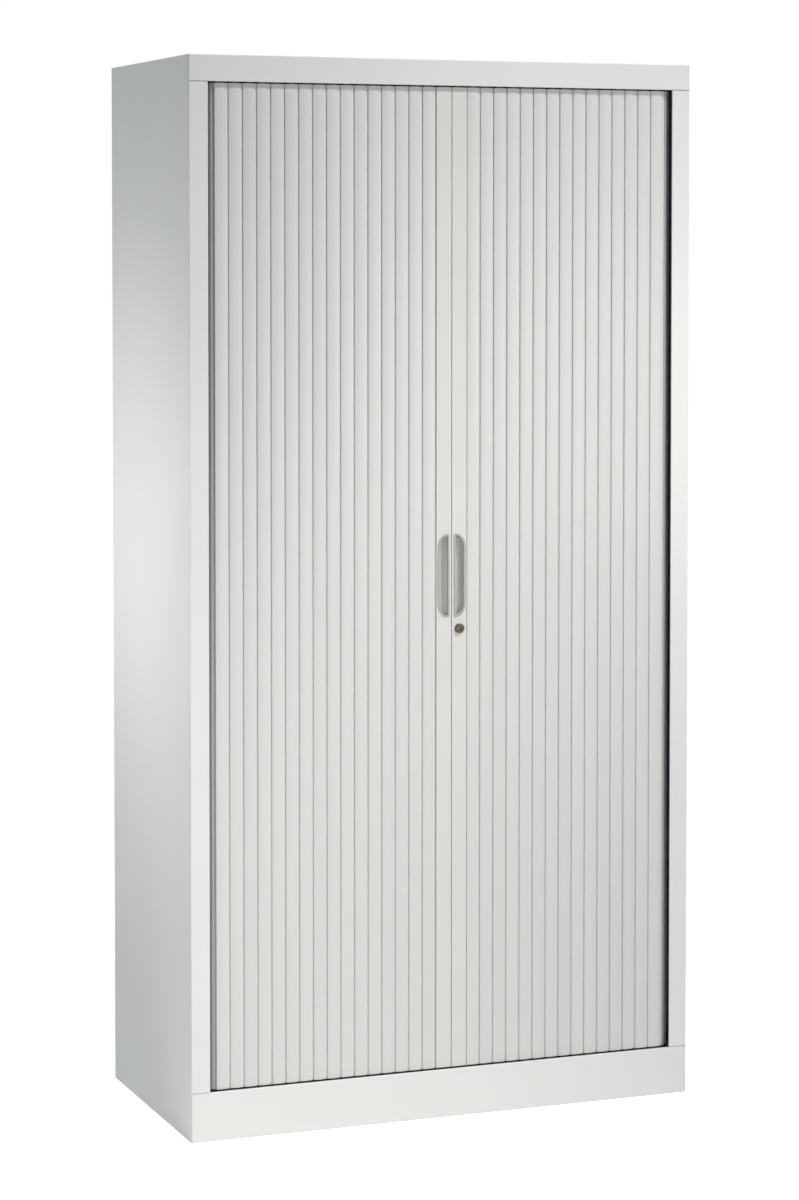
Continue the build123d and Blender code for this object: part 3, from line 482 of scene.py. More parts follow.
def lead_plastic(colours):
    """Extruded leading strip, of the slats' plastic."""
    f = Finish("lead_plastic")
    drawn = f.group("drawn_lines")
    wear_and_highlight = f.mask("rubbed_edges", Reach=0.7 * MM, Breakup=50.0)
    lines = f.spread(drawn["Tone"], 0.3, 0.7, 0.0, 0.08)
    base = f.mix(lines, tuple(colours.lead), shaded(colours.lead, 0.88))
    low = f.noise(f.place, 7.0, 3.0)
    base = f.over(base, f.spread(low, 0.45, 0.7), 0.05, (0.50, 0.47, 0.43))
    # Painted shade in seams and inner corners; edges lightened as wear and as painted highlight.
    seams = f.mask("seam_grime", Reach=1.4 * MM)
    base = f.over(base, seams, 0.7, shaded(colours.lead, 0.2))
    base = f.over(base, wear_and_highlight, 0.25, shaded(colours.lead, 1.2))
    rough = f.spread(f.noise(f.place, 14.0, 4.0), 0.3, 0.7, 0.32, 0.42)
    f.relief(drawn["Height"], 0.012 * MM, 0.5)
    return f.done(base, rough, specular=0.45)


def moulded_plastic(name, colour, roughness, grain_size, depth, dust=0.0, painted_light_from=None):
    """Moulded plastic with a fine spark-eroded grain, and painted light that can make it paler behind a place
    along Y.
    """
    f = Finish(name)
    cells = f.node("ShaderNodeTexVoronoi", {"feature": "SMOOTH_F1"}, Vector=f.place, Scale=grain_size)
    fine = f.noise(f.place, grain_size * 2.2, 2.0)
    wear_and_highlight = f.mask("rubbed_edges", Reach=0.5 * MM, Breakup=120.0)
    flow = f.noise(f.place, 60.0, 3.0)
    seams = f.mask("seam_grime", Reach=1.3 * MM)
    base = f.mix(f.spread(flow, 0.3, 0.7), shaded(colour, 0.95), shaded(colour, 1.04))
    # Painted light: the plastic behind that place is lightened against the shade that falls in the recess.
    if painted_light_from is not None:
        depth_in = f.apart(f.place)["Y"]
        base = f.mix(f.spread(depth_in, painted_light_from, painted_light_from + 3 * MM), base, shaded(colour, RECESS_LIGHT_LEVEL))
    # Painted shade in seams and inner corners; edges lightened as wear and as painted highlight.
    base = f.over(base, seams, 0.6, shaded(colour, 0.35))
    base = f.over(base, wear_and_highlight, 0.30, shaded(colour, 1.35))
    if dust:
        base = f.mix(f.mask("settled_dust", Amount=dust), base, (0.55, 0.52, 0.48))
    height = f.plus(f.times(cells.outputs["Distance"], 0.6), f.times(fine, 0.4))
    f.relief(height, depth, 0.6)
    return f.done(base, f.spread(flow, 0.3, 0.7, roughness - 0.05, roughness + 0.05))


def black_rubber(colours):
    """Dull rubber with a bloom on it."""
    f = Finish("stop_rubber")
    bloom = f.noise(f.place, 180.0, 4.0)
    base = f.mix(f.spread(bloom, 0.45, 0.75), tuple(colours.rubber), shaded(colours.rubber, 2.2))
    f.relief(f.noise(f.place, 1300.0, 3.0), 0.03 * MM, 0.7)
    return f.done(base, f.spread(bloom, 0.3, 0.7, 0.72, 0.88), specular=0.3)


def zinc_plate(colours):
    """Bright zinc plate with slow blue and straw casts and fine scratches."""
    f = Finish("zinc_plate")
    cast = f.noise(f.place, 70.0, 3.0)
    base = f.mix(f.spread(cast, 0.35, 0.65), shaded(colours.zinc, 0.94), (0.60, 0.585, 0.53))
    flakes = f.node("ShaderNodeTexVoronoi", Vector=f.place, Scale=900.0)
    base = f.over(base, flakes.outputs["Distance"], 0.25, shaded(colours.zinc, 0.7))
    wear_and_highlight = f.mask("rubbed_edges", Reach=0.4 * MM, Breakup=90.0)
    # Edges lightened as wear and as painted highlight.
    base = f.over(base, wear_and_highlight, 0.35, shaded(colours.zinc, 1.3))
    scratches = f.noise(f.placed(f.place, (4000.0, 300.0, 60.0), turn=(0.2, 0.3, 0.4)), 1.0, 2.0)
    rough = f.spread(f.plus(cast, f.times(scratches, 0.4)), 0.4, 1.0, 0.26, 0.44)
    f.relief(scratches, 0.006 * MM, 0.5)
    return f.done(base, rough, metallic=1.0)


def turned_metal(name, colour, centre, roughness, tarnish):
    """Plated metal with turning marks round an axis along Y."""
    f = Finish(name)
    moved = f.placed(f.place, location=tuple(-value for value in centre))
    parts = f.apart(moved)
    across = f.math("POWER", parts["X"], 2.0)
    up = f.math("POWER", parts["Z"], 2.0)
    radius = f.math("SQRT", f.plus(across, up))
    rings = f.node("ShaderNodeTexNoise", {"noise_dimensions": "1D"})
    f.feed(rings, "W", f.times(radius, 9000.0))
    f.feed(rings, "Scale", 1.0)
    spots = f.noise(f.place, 420.0, 4.0)
    stained = f.spread(spots, 0.42, 0.70)
    wear_and_highlight = f.mask("rubbed_edges", Reach=0.35 * MM, Breakup=300.0)
    seams = f.mask("seam_grime", Reach=0.9 * MM)
    base = f.over(colour, stained, tarnish, shaded(colour, 0.45))
    # Painted shade in the recesses between ring and plug; painted highlights as bright rims on the edges,
    # with some wear.
    base = f.over(base, seams, 0.85, shaded(colour, 0.2))
    base = f.over(base, wear_and_highlight, 0.6, shaded(colour, 5.0))
    rough = f.spread(spots, 0.3, 0.7, roughness, roughness + 0.12)
    f.relief(rings.outputs["Fac"], 0.004 * MM, 0.6)
    return f.done(base, rough, metallic=1.0)


def rivet_metal(colours):
    """Plain drawn aluminium, a little dull."""
    f = Finish("rivet_aluminium")
    dull = f.noise(f.place, 260.0, 4.0)
    base = f.mix(f.spread(dull, 0.35, 0.7), tuple(colours.aluminium), shaded(colours.aluminium, 0.78))
    marks = f.noise(f.place, 3500.0, 2.0)
    f.relief(marks, 0.006 * MM, 0.6)
    return f.done(base, f.spread(dull, 0.3, 0.7, 0.34, 0.5), metallic=1.0)


# ---- Mesh helpers ----


def only(kind, items):
    """The items of one kind among a bmesh operator's results."""
    return [item for item in items if isinstance(item, kind)]


class Outline:
    """A chain of edges in the plan, x to the right and y to the back, of extruded points and spun arcs."""

    def __init__(self, bm, x, y, z=0.0):
        self.bm = bm
        self.z = z
        self.last = bm.verts.new((x, y, z))
        self.verts = [self.last]

    def line(self, *points):
        """Straight runs to the given points."""
        for x, y in points:
            made = bmesh.ops.extrude_vert_indiv(self.bm, verts=[self.last])["verts"][0]
            bmesh.ops.translate(self.bm, verts=[made], vec=Vector((x, y, self.z)) - made.co)
            self.last = made
            self.verts.append(made)

    def arc(self, centre, angle, steps):
        """An arc round a centre, by an angle in radians, counted anticlockwise."""
        known = set(self.bm.verts)
        made = bmesh.ops.spin(
            self.bm, geom=[self.last], cent=(*centre, self.z), axis=(0, 0, 1), angle=angle, steps=steps
        )
        self.last = only(bmesh.types.BMVert, made["geom_last"])[0]
        self.verts += [vert for vert in self.bm.verts if vert not in known]

    def face(self):
        """The closed outline as one face."""
        merged = bmesh.ops.find_doubles(self.bm, verts=self.verts, dist=1e-6)["targetmap"]
        bmesh.ops.weld_verts(self.bm, targetmap=merged)
        verts = [vert for vert in self.verts if vert.is_valid]
        if len(verts[0].link_edges) == 1:
            bmesh.ops.contextual_create(self.bm, geom=[verts[0], self.last])
        edges = {edge for vert in verts for edge in vert.link_edges}
        made = bmesh.ops.contextual_create(self.bm, geom=[*verts, *edges])
        return made["faces"][0]


def pull(bm, face, offset):
    """Extrude one face along a vector into a closed solid."""
    made = bmesh.ops.extrude_face_region(bm, geom=[face], use_keep_orig=True)["geom"]
    bmesh.ops.translate(bm, verts=only(bmesh.types.BMVert, made), vec=offset)


def block(bm, low, high, edge):
    """A block between two corners, with its edges rounded."""
    low, high = Vector(low), Vector(high)
    verts = bmesh.ops.create_cube(bm, size=1.0)["verts"]
    bmesh.ops.scale(bm, verts=verts, vec=high - low)
    bmesh.ops.translate(bm, verts=verts, vec=(low + high) / 2)
    edges = list({item for vert in verts for item in vert.link_edges})
    round_off(bm, edges, edge, 2)


def round_off(bm, edges, radius, segments):
    """Round edges with a bevel."""
    bmesh.ops.bevel(
        bm, geom=edges, offset=radius, offset_type="OFFSET", segments=segments, profile=0.5, affect="EDGES",
        material=-1, clamp_overlap=True,
    )


def chain(bm, verts):
    """Edges from each point to the next."""
    return [bmesh.ops.contextual_create(bm, geom=pair)["edges"][0] for pair in zip(verts, verts[1:])]


def turned(bm, points, centre, axis, steps):
    """A closed solid turned from a profile of (radius, place along the axis) points."""
    axis = Vector(axis)
    side = Vector((1, 0, 0))
    verts = [bm.verts.new(Vector(centre) + side * radius + axis * along) for radius, along in points]
    edges = chain(bm, verts)
    bmesh.ops.spin(
        bm, geom=[*verts, *edges], cent=centre, axis=axis, angle=math.tau, steps=steps, use_merge=True
    )
    bmesh.ops.remove_doubles(bm, verts=bm.verts, dist=1e-7)


def finished(name, bm, material, smooth=35.0):
    """A mesh object from a bmesh, with its normals outward and its edges sharp past an angle."""
    bmesh.ops.recalc_face_normals(bm, faces=bm.faces)
    mesh = bpy.data.meshes.new(name)
    bm.to_mesh(mesh)
    bm.free()
    piece = bpy.data.objects.new(name, mesh)
    bpy.context.scene.collection.objects.link(piece)
    if material:
        mesh.materials.append(material)
    soften(piece, smooth)
    return piece


def soften(piece, smooth):
    """Smooth shading with edges sharp past an angle in degrees."""
    for polygon in piece.data.polygons:
        polygon.use_smooth = True
    piece.data.set_sharp_from_angle(angle=math.radians(smooth))


def carve(piece, bm, operation="DIFFERENCE"):
    """Take a closed tool away from a piece, or add it."""
    tool = finished("tool", bm, None)
    modifier = piece.modifiers.new("carve", "BOOLEAN")
    modifier.operation = operation
    modifier.solver = "EXACT"
    modifier.object = tool
    bpy.context.view_layer.update()
    mesh = bpy.data.meshes.new_from_object(piece.evaluated_get(bpy.context.evaluated_depsgraph_get()))
    piece.modifiers.clear()
    old = piece.data
    piece.data = mesh
    mesh.name = piece.name
    bpy.data.meshes.remove(old)
    bpy.data.objects.remove(tool)


def reworked(piece, work, smooth=35.0):
    """Open a piece's mesh, let a function work on it, and put it back."""
    bm = bmesh.new()
    bm.from_mesh(piece.data)
    work(bm)
    bm.to_mesh(piece.data)
    bm.free()
    soften(piece, smooth)


def stand_for(piece, body):
    """Tie a piece to its body, in place of the solids that it is named after."""
    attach(piece, body)
    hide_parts(piece.name.replace("_detailed", ""))
    return piece


def coat(material, *names):
    """Give carried-over solids a finish."""
    for name in names:
        slots = NODES[name].data.materials
        slots.clear()
        slots.append(material)


# ---- Shutters ----


def slat_section(bm, sizes):
    """One slat's section as a face, with its hinge line at the origin's left edge."""
    s = sizes
    hinge = s.hinge_depth
    ring = s.hook_radius + s.hook_play + s.hook_wall
    hole = s.hook_radius + s.hook_play
    relief = ring + s.hook_play
    nose_end = s.pitch - 2 * s.edge_gap
    nose_angle = math.acos(1 - s.nose_drop / s.nose_radius)
    flat_end = nose_end - s.nose_radius * math.sin(nose_angle)
    flat_start = s.edge_gap + s.edge_radius
    middle = (flat_start + flat_end) / 2
    half = (flat_end - flat_start) / 2
    bulge = (half * half + s.crown * s.crown) / (2 * s.crown)
    rise = 2 * math.asin(half / bulge)
    ring_start = -math.acos((nose_end - s.pitch) / ring)
    mouth_degrees = 28
    mouth = math.radians(mouth_degrees)
    mouth_end = math.radians(45 + mouth_degrees)
    neck = s.hook_neck / 2
    bead_turn = math.asin(neck / s.hook_radius)
    first = relief + s.web
    last = s.pitch - ring - s.web / 2
    left_rib = s.pitch / 2 - s.web / 2
    right_rib = s.pitch / 2 + s.web / 2

    o = Outline(bm, s.edge_gap, s.crown + s.overhang)
    o.line((s.edge_gap, s.crown + s.edge_radius))
    o.arc((flat_start, s.crown + s.edge_radius), math.pi / 2, 4)
    o.arc((middle, bulge), rise, 10)
    o.arc((flat_end, s.crown + s.nose_radius), nose_angle, s.nose_steps)
    o.line((s.pitch + ring * math.cos(ring_start), hinge + ring * math.sin(ring_start)))
    o.arc((s.pitch, hinge), -mouth - ring_start, 5)
    o.line((s.pitch + hole * math.cos(mouth), hinge - hole * math.sin(mouth)))
    o.arc((s.pitch, hinge), mouth_end + mouth - math.tau, 14)
    o.line((s.pitch + ring * math.cos(mouth_end), hinge + ring * math.sin(mouth_end)))
    o.arc((s.pitch, hinge), math.pi / 2 - mouth_end, 2)
    skin = s.crown + s.skin
    o.line((last, s.depth), (last, skin), (right_rib, skin), (right_rib, s.depth))
    o.line((left_rib, s.depth), (left_rib, skin), (first, skin), (first, s.depth))
    o.line((relief, s.depth), (relief, hinge + neck))
    o.line((s.hook_radius * math.cos(bead_turn), hinge + neck))
    o.arc((0.0, hinge), math.tau - 2 * bead_turn, 12)
    o.line((relief, hinge - neck), (relief, s.crown + s.overhang))
    return o.face()


def add_slat(bm, sizes, low, high, place, turn, tone):
    """One slat with its end tongues, turned about its hinge line, in its own tone."""
    known = set(bm.verts)
    layer = bm.verts.layers.float["slat_tone"]
    face = slat_section(bm, sizes)
    bmesh.ops.translate(bm, verts=list(face.verts), vec=(0, 0, low))
    pull(bm, face, Vector((0, 0, high - low)))
    x = (sizes.pitch - sizes.tongue_width) / 2
    y = sizes.hinge_depth - sizes.tongue_thickness / 2
    far = (x + sizes.tongue_width, y + sizes.tongue_thickness)
    sunk = 0.5 * MM
    rounding = 0.5 * MM
    block(bm, (x, y, low - sizes.tongue_length), (*far, low + sunk), rounding)
    block(bm, (x, y, high - sunk), (*far, high + sizes.tongue_length), rounding)
    made = [vert for vert in bm.verts if vert not in known]
    matrix = Matrix.Translation((*place, 0)) @ Matrix.Rotation(turn, 4, "Z")
    bmesh.ops.transform(bm, matrix=matrix @ Matrix.Translation((0, -sizes.hinge_depth, 0)), verts=made)
    for vert in made:
        vert[layer] = tone


def slat_tone(number):
    """Tone of one slat: a slow drift across the shutters and a small step from slat to slat."""
    drift = 0.5 + 0.28 * math.sin(number * 0.21 - 0.9)
    step = 0.24 * math.sin(number * 2.399) + 0.14 * math.sin(number * 5.03 + 1.0)
    return min(1.0, max(0.0, drift + step))


def slat_count(sizes, corners):
    """How many whole slats a shutter's front run takes."""
    first = corners[0].x + sizes.hook_radius
    return int((corners[1].x - first) / sizes.pitch)


def shutter_slats(name, sizes, corners, body, first_number, material):
    """The slats on one shutter's front run, side by side."""
    bm = bmesh.new()
    bm.verts.layers.float.new("slat_tone")
    first = corners[0].x + sizes.hook_radius
    low = corners[0].z + sizes.tongue_length
    high = corners[1].z - sizes.tongue_length
    for index in range(slat_count(sizes, corners)):
        place = (first + index * sizes.pitch, corners[0].y + sizes.hinge_depth)
        add_slat(bm, sizes, low, high, place, 0.0, slat_tone(first_number + index))
    piece = finished(name, bm, material)
    return stand_for(piece, body)


def corner_path(sizes, start):
    """Hinge places and turns of the slats that follow the track round a corner."""
    x, y = start
    turn = 0.0
    path = [(x, y, turn)]
    for _ in range(TAIL_COUNT):
        turn = min(math.pi / 2, turn + math.pi / 4)
        x -= sizes.pitch * math.cos(turn)
        y += sizes.pitch * math.sin(turn)
        path.append((x, y, turn))
    return path


def tail_slats(name, sizes, side, material):
    """The last slats of one shutter, round the corner and along the side."""
    bm = bmesh.new()
    bm.verts.layers.float.new("slat_tone")
    start = (LEFT_SLATS[0].x + sizes.hook_radius, LEFT_SLATS[0].y + sizes.hinge_depth)
    path = corner_path(sizes, start)
    number = slat_count(sizes, LEFT_SLATS) + slat_count(sizes, RIGHT_SLATS)
    low = LEFT_SLATS[0].z + sizes.tongue_length
    high = LEFT_SLATS[1].z - sizes.tongue_length
    for step in range(TAIL_COUNT):
        if side < 0:
            x, y, turn = path[step + 1]
            add_slat(bm, sizes, low, high, (x, y), -turn, slat_tone(-1 - step))
        else:
            x, y, _ = path[step]
            add_slat(bm, sizes, low, high, (-x, y), path[step + 1][2], slat_tone(number + step))
    piece = finished(name, bm, material)
    return stand_for(piece, "cabinet")


# ---- Finger shells ----


def shell_outline(bm, grip, width, height, inset, y):
    """D-shaped outline in the plan's x and y, straight at x = 0, to be stood up against the face."""
    half = height / 2 - inset
    wide = width - inset
    inner = max(grip.inner_radius - inset, 0.3 * MM)
    across, up = grip.shoulder_width, grip.shoulder_height
    big = (across * across + up * up) / (2 * across)
    centre = width - big
    shoulder = height / 2 - up
    radius = big - inset
    meet = math.asin(min(1.0, (half - shoulder) / radius))
    o = Outline(bm, inset, -half + inner)
    o.arc((inset + inner, -half + inner), math.pi / 2, 5)
    o.line((centre + radius * math.cos(meet), -half))
    o.arc((centre, -shoulder), meet, 14)
    o.line((wide, shoulder))
    o.arc((centre, shoulder), meet, 14)
    o.line((inset + inner, half))
    o.arc((inset + inner, half - inner), math.pi / 2, 5)
    face = o.face()
    stand = Matrix.Rotation(math.pi / 2, 4, "X")
    bmesh.ops.transform(bm, matrix=Matrix.Translation((0, y, 0)) @ stand, verts=list(face.verts))
    return face


def finger_shell(name, grip, corners, toward, body, material):
    """One moulded grip: a rounded rim on the face, and a recess that slopes up towards the meeting line.

    toward is 1 where the meeting line is on the shell's left, and -1 where it is on its right.
    """
    low, high = corners
    face_y = RIGHT_LEAD[0].y
    width = high.x - low.x
    height = high.z - low.z
    proud = face_y - low.y
    bm = bmesh.new()
    rim = shell_outline(bm, grip, width, height, 0.0, -proud)
    pull(bm, rim, Vector((0, proud, 0)))
    piece = finished(name, bm, material)
    cup = bmesh.new()
    back = shell_outline(cup, grip, width, height, grip.rim - grip.wall, -proud / 2)
    pull(cup, back, Vector((0, grip.floor_depth + grip.wall + proud / 2, 0)))
    carve(piece, cup, "UNION")

    hollow = bmesh.new()
    mouth = shell_outline(hollow, grip, width, height, grip.rim, -3 * proud)
    pull(hollow, mouth, Vector((0, grip.floor_depth + 3 * proud, 0)))
    recess = finished("recess", hollow, None)
    wedge = bmesh.new()
    reach = height / 2
    bow = (reach * reach) / (2 * grip.ramp_bow)
    wall_x = grip.rim
    toe_x = wall_x + grip.ramp_run + grip.ramp_bow
    slope = Outline(wedge, wall_x, grip.ramp_start)
    deep = grip.floor_depth
    past_floor = deep + 8 * MM
    past_side = -12 * MM
    slope.line((toe_x, deep), (toe_x, past_floor), (past_side, past_floor), (past_side, grip.ramp_start))
    section = slope.face()
    centre = (toe_x - bow, 0, 0)
    angle = 2 * math.asin(reach / bow)
    axis = Vector((0, 1, 0))
    bmesh.ops.rotate(wedge, cent=centre, matrix=Matrix.Rotation(-angle / 2, 3, axis), verts=wedge.verts)
    bmesh.ops.spin(wedge, geom=[section], cent=centre, axis=axis, angle=angle, steps=24)
    carve(recess, wedge)
    tool = bmesh.new()
    tool.from_mesh(recess.data)
    bpy.data.objects.remove(recess)
    carve(piece, tool)

    def dress(bm):
        front = [edge for edge in bm.edges if all(vert.co.y < -proud + 1e-6 for vert in edge.verts)]
        round_off(bm, front, grip.rim_round, 4)
        turn = Matrix.Scale(toward, 4, (1, 0, 0))
        shift = Matrix.Translation((low.x if toward > 0 else high.x, face_y, (low.z + high.z) / 2))
        bmesh.ops.transform(bm, matrix=shift @ turn, verts=bm.verts)
        bmesh.ops.recalc_face_normals(bm, faces=bm.faces)

    reworked(piece, dress, 30.0)
    return stand_for(piece, body)


# ---- Lock ----


def lock_centre():
    """Centre of the lock on the face, in plan and height."""
    low, high = LOCK_HEAD
    return Vector(((low.x + high.x) / 2, RIGHT_LEAD[0].y, (low.z + high.z) / 2))


def lock_head(lock, material):
    """Nickel head with a turned ring and a dished face, on its barrel."""
    centre = lock_centre()
    low, high = LOCK_HEAD
    radius = (high.x - low.x) / 2
    front = low.y - centre.y
    back = high.y - centre.y
    bore = (LOCK_PLUG[1].x - LOCK_PLUG[0].x) / 2 + 0.08 * MM
    barrel = radius - 1.5 * MM
    ring = bore + lock.face_ring
    ring_front = front + 0.1 * MM
    dish = front + lock.face_sink
    r = lock.head_round
    points = [
        (bore, back), (bore, front + 0.35 * MM), (bore + 0.25 * MM, ring_front),
        (ring - 0.3 * MM, ring_front), (ring, dish), (radius - r - 0.6 * MM, dish),
        (radius - r - 0.2 * MM, front), (radius - r, front),
    ]
    steps = 6
    for step in range(1, steps + 1):
        turn = math.pi / 2 * step / steps
        points.append((radius - r + r * math.sin(turn), front + r - r * math.cos(turn)))
    points += [(radius, -0.35 * MM), (radius - 0.25 * MM, 0.0), (barrel, 0.0), (barrel, back), (bore, back)]
    bm = bmesh.new()
    turned(bm, points, centre, (0, 1, 0), 64)
    piece = finished("lock_housing_detailed", bm, material, 24.0)
    return stand_for(piece, "right_shutter")


def lock_plug(lock, material):
    """Turning plug with a chamfered front and a warded key slot."""
    centre = lock_centre()
    low, high = LOCK_PLUG
    radius = (high.x - low.x) / 2
    front = low.y - centre.y
    back = high.y - centre.y
    points = [
        (0.0, front), (radius - 0.9 * MM, front), (radius - 0.35 * MM, front + 0.12 * MM),
        (radius, front + 0.5 * MM), (radius, back), (0.0, back),
    ]
    bm = bmesh.new()
    turned(bm, points, centre, (0, 1, 0), 48)
    piece = finished("lock_plug_detailed", bm, material, 24.0)
    slot = bmesh.new()
    w, h = lock.key_width / 2, lock.key_height / 2
    o = Outline(slot, -w, -h)
    o.line((0.35 * w, -h), (w, -0.8 * h), (w, -0.25 * h), (0.2 * w, -0.1 * h), (0.2 * w, 0.18 * h))
    o.line((w, 0.32 * h), (w, 0.85 * h), (0.6 * w, h), (-0.7 * w, h), (-w, 0.85 * h), (-w, 0.5 * h))
    o.line((-0.3 * w, 0.38 * h), (-0.3 * w, 0.1 * h), (-w, 0.0))
    past_front = 1 * MM
    pull(slot, o.face(), Vector((0, 0, lock.key_depth + past_front)))
    stand = Matrix.Translation(centre + Vector((0, front + lock.key_depth, 0)))
    bmesh.ops.transform(slot, matrix=stand @ Matrix.Rotation(math.pi / 2, 4, "X"), verts=slot.verts)
    carve(piece, slot)
    soften(piece, 24.0)
    return stand_for(piece, "lock_cylinder")


# ---- Feet and rivets ----


def upright(corners):
    """Plan centre and radius of a round upright solid, from its box."""
    low, high = corners
    return Vector(((low.x + high.x) / 2, (low.y + high.y) / 2, 0)), (high.x - low.x) / 2


def threaded_stud(name, foot, body, material):
    """M8 stud with a real thread, a chamfered end and a hexagon socket."""
    low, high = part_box(name)
    centre, radius = upright((low, high))
    root = radius - foot.thread_depth
    p = foot.thread_pitch
    turns = int((high.z - low.z) / p) + 3
    start = low.z - 1.5 * p
    bm = bmesh.new()
    profile = (
        (root, 0.0), (root, 0.12 * p), (radius, 0.45 * p), (radius, 0.57 * p), (root, 0.9 * p), (root, p),
    )
    verts = [bm.verts.new(centre + Vector((r, 0, start + z))) for r, z in profile]
    edges = chain(bm, verts)
    steps = 16 * turns
    bmesh.ops.spin(
        bm, geom=[*verts, *edges], cent=centre, axis=(0, 0, 1), dvec=(0, 0, p * turns / steps),
        angle=math.tau * turns, steps=steps,
    )
    bmesh.ops.remove_doubles(bm, verts=bm.verts, dist=1e-6)
    for z, normal in ((low.z, (0, 0, -1)), (high.z, (0, 0, 1))):
        cut = bmesh.ops.bisect_plane(
            bm, geom=[*bm.verts, *bm.edges, *bm.faces], dist=1e-7, plane_co=(0, 0, z), plane_no=normal,
            clear_outer=True,
        )
        bmesh.ops.contextual_create(bm, geom=only(bmesh.types.BMEdge, cut["geom_cut"]))
    piece = finished(f"{name}_detailed", bm, material, 50.0)
    socket = bmesh.new()
    made = bmesh.ops.create_circle(socket, cap_ends=True, segments=6, radius=radius / 2)["verts"]
    socket_depth = 3 * MM
    past_end = 2 * MM
    bmesh.ops.translate(socket, verts=made, vec=centre + Vector((0, 0, high.z - socket_depth)))
    pull(socket, made[0].link_faces[0], Vector((0, 0, socket_depth + past_end)))
    carve(piece, socket)
    soften(piece, 50.0)
    return stand_for(piece, body)


def foot_pad(name, foot, body, material):
    """Moulded pad with a domed top, a collar round the stud and grip grooves round its edge."""
    low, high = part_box(name)
    centre, radius = upright((low, high))
    h = high.z
    hollow = 0.6 * MM
    bore = 4.1 * MM
    points = [
        (0.0, hollow), (radius * 0.55, hollow), (radius * 0.58, 0.0), (radius - 0.9 * MM, 0.0),
        (radius - 0.3 * MM, 0.2 * MM), (radius, 0.8 * MM), (radius, h * 0.42), (radius - 0.5 * MM, h * 0.52),
        (radius * 0.80, h * 0.66), (radius * 0.45, h * 0.80), (6.4 * MM, h * 0.84), (6.2 * MM, h - 0.5 * MM),
        (5.8 * MM, h), (4.35 * MM, h), (bore, h - 0.3 * MM), (bore, h * 0.5), (0.0, h * 0.5),
    ]
    groove_depth = 0.7 * MM
    bm = bmesh.new()
    turned(bm, points, centre, (0, 0, 1), foot.pad_grooves * 4)
    for vert in bm.verts:
        spoke = vert.co - centre
        across = Vector((spoke.x, spoke.y, 0))
        if across.length > radius - 0.4 * MM:
            around = math.atan2(spoke.y, spoke.x) * foot.pad_grooves
            sunk = max(0.0, math.cos(around)) * groove_depth
            bmesh.ops.translate(bm, verts=[vert], vec=-across.normalized() * sunk)
    piece = finished(f"{name}_detailed", bm, material, 40.0)
    return stand_for(piece, body)


def back_rivets(material):
    """Blind rivets of the back sheet, with the broken mandrel in each head."""
    low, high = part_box("back_rivets")
    stiffener_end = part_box("back_stiffener")[1].x
    face_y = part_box("back_panel")[1].y
    radius = 3.6 * MM
    head = high.y - face_y
    outer = high.x - radius
    inner = stiffener_end - 8 * MM
    tail = low.y - face_y
    rows = 7
    points = [
        (0.0, head * 0.45), (0.75 * MM, head * 0.55), (0.85 * MM, head * 0.2), (1.3 * MM, head * 0.2),
        (1.5 * MM, head * 0.98), (2.2 * MM, head), (2.9 * MM, head * 0.82), (3.35 * MM, head * 0.5),
        (radius, head * 0.12), (radius, 0.0), (2.0 * MM, 0.0), (2.0 * MM, -2.6 * MM), (2.9 * MM, -2.8 * MM),
        (2.9 * MM, tail + 0.3 * MM), (2.2 * MM, tail), (0.0, tail),
    ]
    bm = bmesh.new()
    for row in range(rows):
        z = low.z + radius + (high.z - low.z - 2 * radius) * row / (rows - 1)
        for x in (-outer, -inner, inner, outer):
            one = bmesh.new()
            turned(one, points, (x, face_y, z), (0, 1, 0), 20)
            mesh = bpy.data.meshes.new("rivet")
            one.to_mesh(mesh)
            one.free()
            bm.from_mesh(mesh)
            bpy.data.meshes.remove(mesh)
    piece = finished("back_rivets_detailed", bm, material, 30.0)
    return stand_for(piece, "cabinet")


# ---- Operators ----


class CABINET_OT_coat_panels(bpy.types.Operator):
    """Powder coat the steel panels and the shelves"""

    bl_idname = "cabinet.coat_panels"
    bl_label = "Coat the panels"
    bl_options = {"REGISTER", "UNDO"}

    def execute(self, context):
        """Paint every sheet of the carcass, with more dust on what lies flat inside."""
        cabinet = context.scene.cabinet
        paint = tuple(cabinet.colours.paint)
        outside = powder_coat("carcass_paint", paint, 0.10)
        coat(outside, "left_side_panel", "right_side_panel", "top_panel", "back_panel")
        coat(outside, "plinth_front", "plinth_rear")
        inside = powder_coat("shelf_paint", shaded(paint, 0.99), 0.30)
        coat(inside, "base_panel", "ceiling_panel", "left_inner_wall", "right_inner_wall")
        coat(inside, "shelf_1", "shelf_2", "shelf_3", "shelf_4")
        return {"FINISHED"}


class CABINET_OT_plate_fittings(bpy.types.Operator):
    """Finish the fittings: tracks, rivets, stops, clips, brackets, nuts and caps"""

    bl_idname = "cabinet.plate_fittings"
    bl_label = "Finish the fittings"
    bl_options = {"REGISTER", "UNDO"}

    def execute(self, context):
        """Give the carried-over fittings their plating, plastic or rubber."""
        colours = context.scene.cabinet.colours
        black = moulded_plastic("track_plastic", tuple(colours.black), 0.42, 900.0, 0.015 * MM, 0.12)
        coat(black, "lower_left_track", "lower_right_track", "upper_left_track", "upper_right_track")
        coat(black, "left_lead_gliders", "right_lead_gliders")
        coat(black_rubber(colours), "track_end_stops")
        zinc = zinc_plate(colours)
        coat(zinc, "shelf_clips", "foot_brackets", "foot_nuts", "back_stiffener", "lock_keeper", "lock_nut")
        coat(zinc, "lock_hook", "lock_hook_screw")
        cap = moulded_plastic("cap_plastic", shaded(colours.paint, 0.9), 0.45, 900.0, 0.01 * MM, 0.2)
        coat(cap, "foot_access_caps")
        aluminium = rivet_metal(colours)
        coat(aluminium, "lower_track_rivets", "upper_track_rivets")
        back_rivets(aluminium)
        return {"FINISHED"}


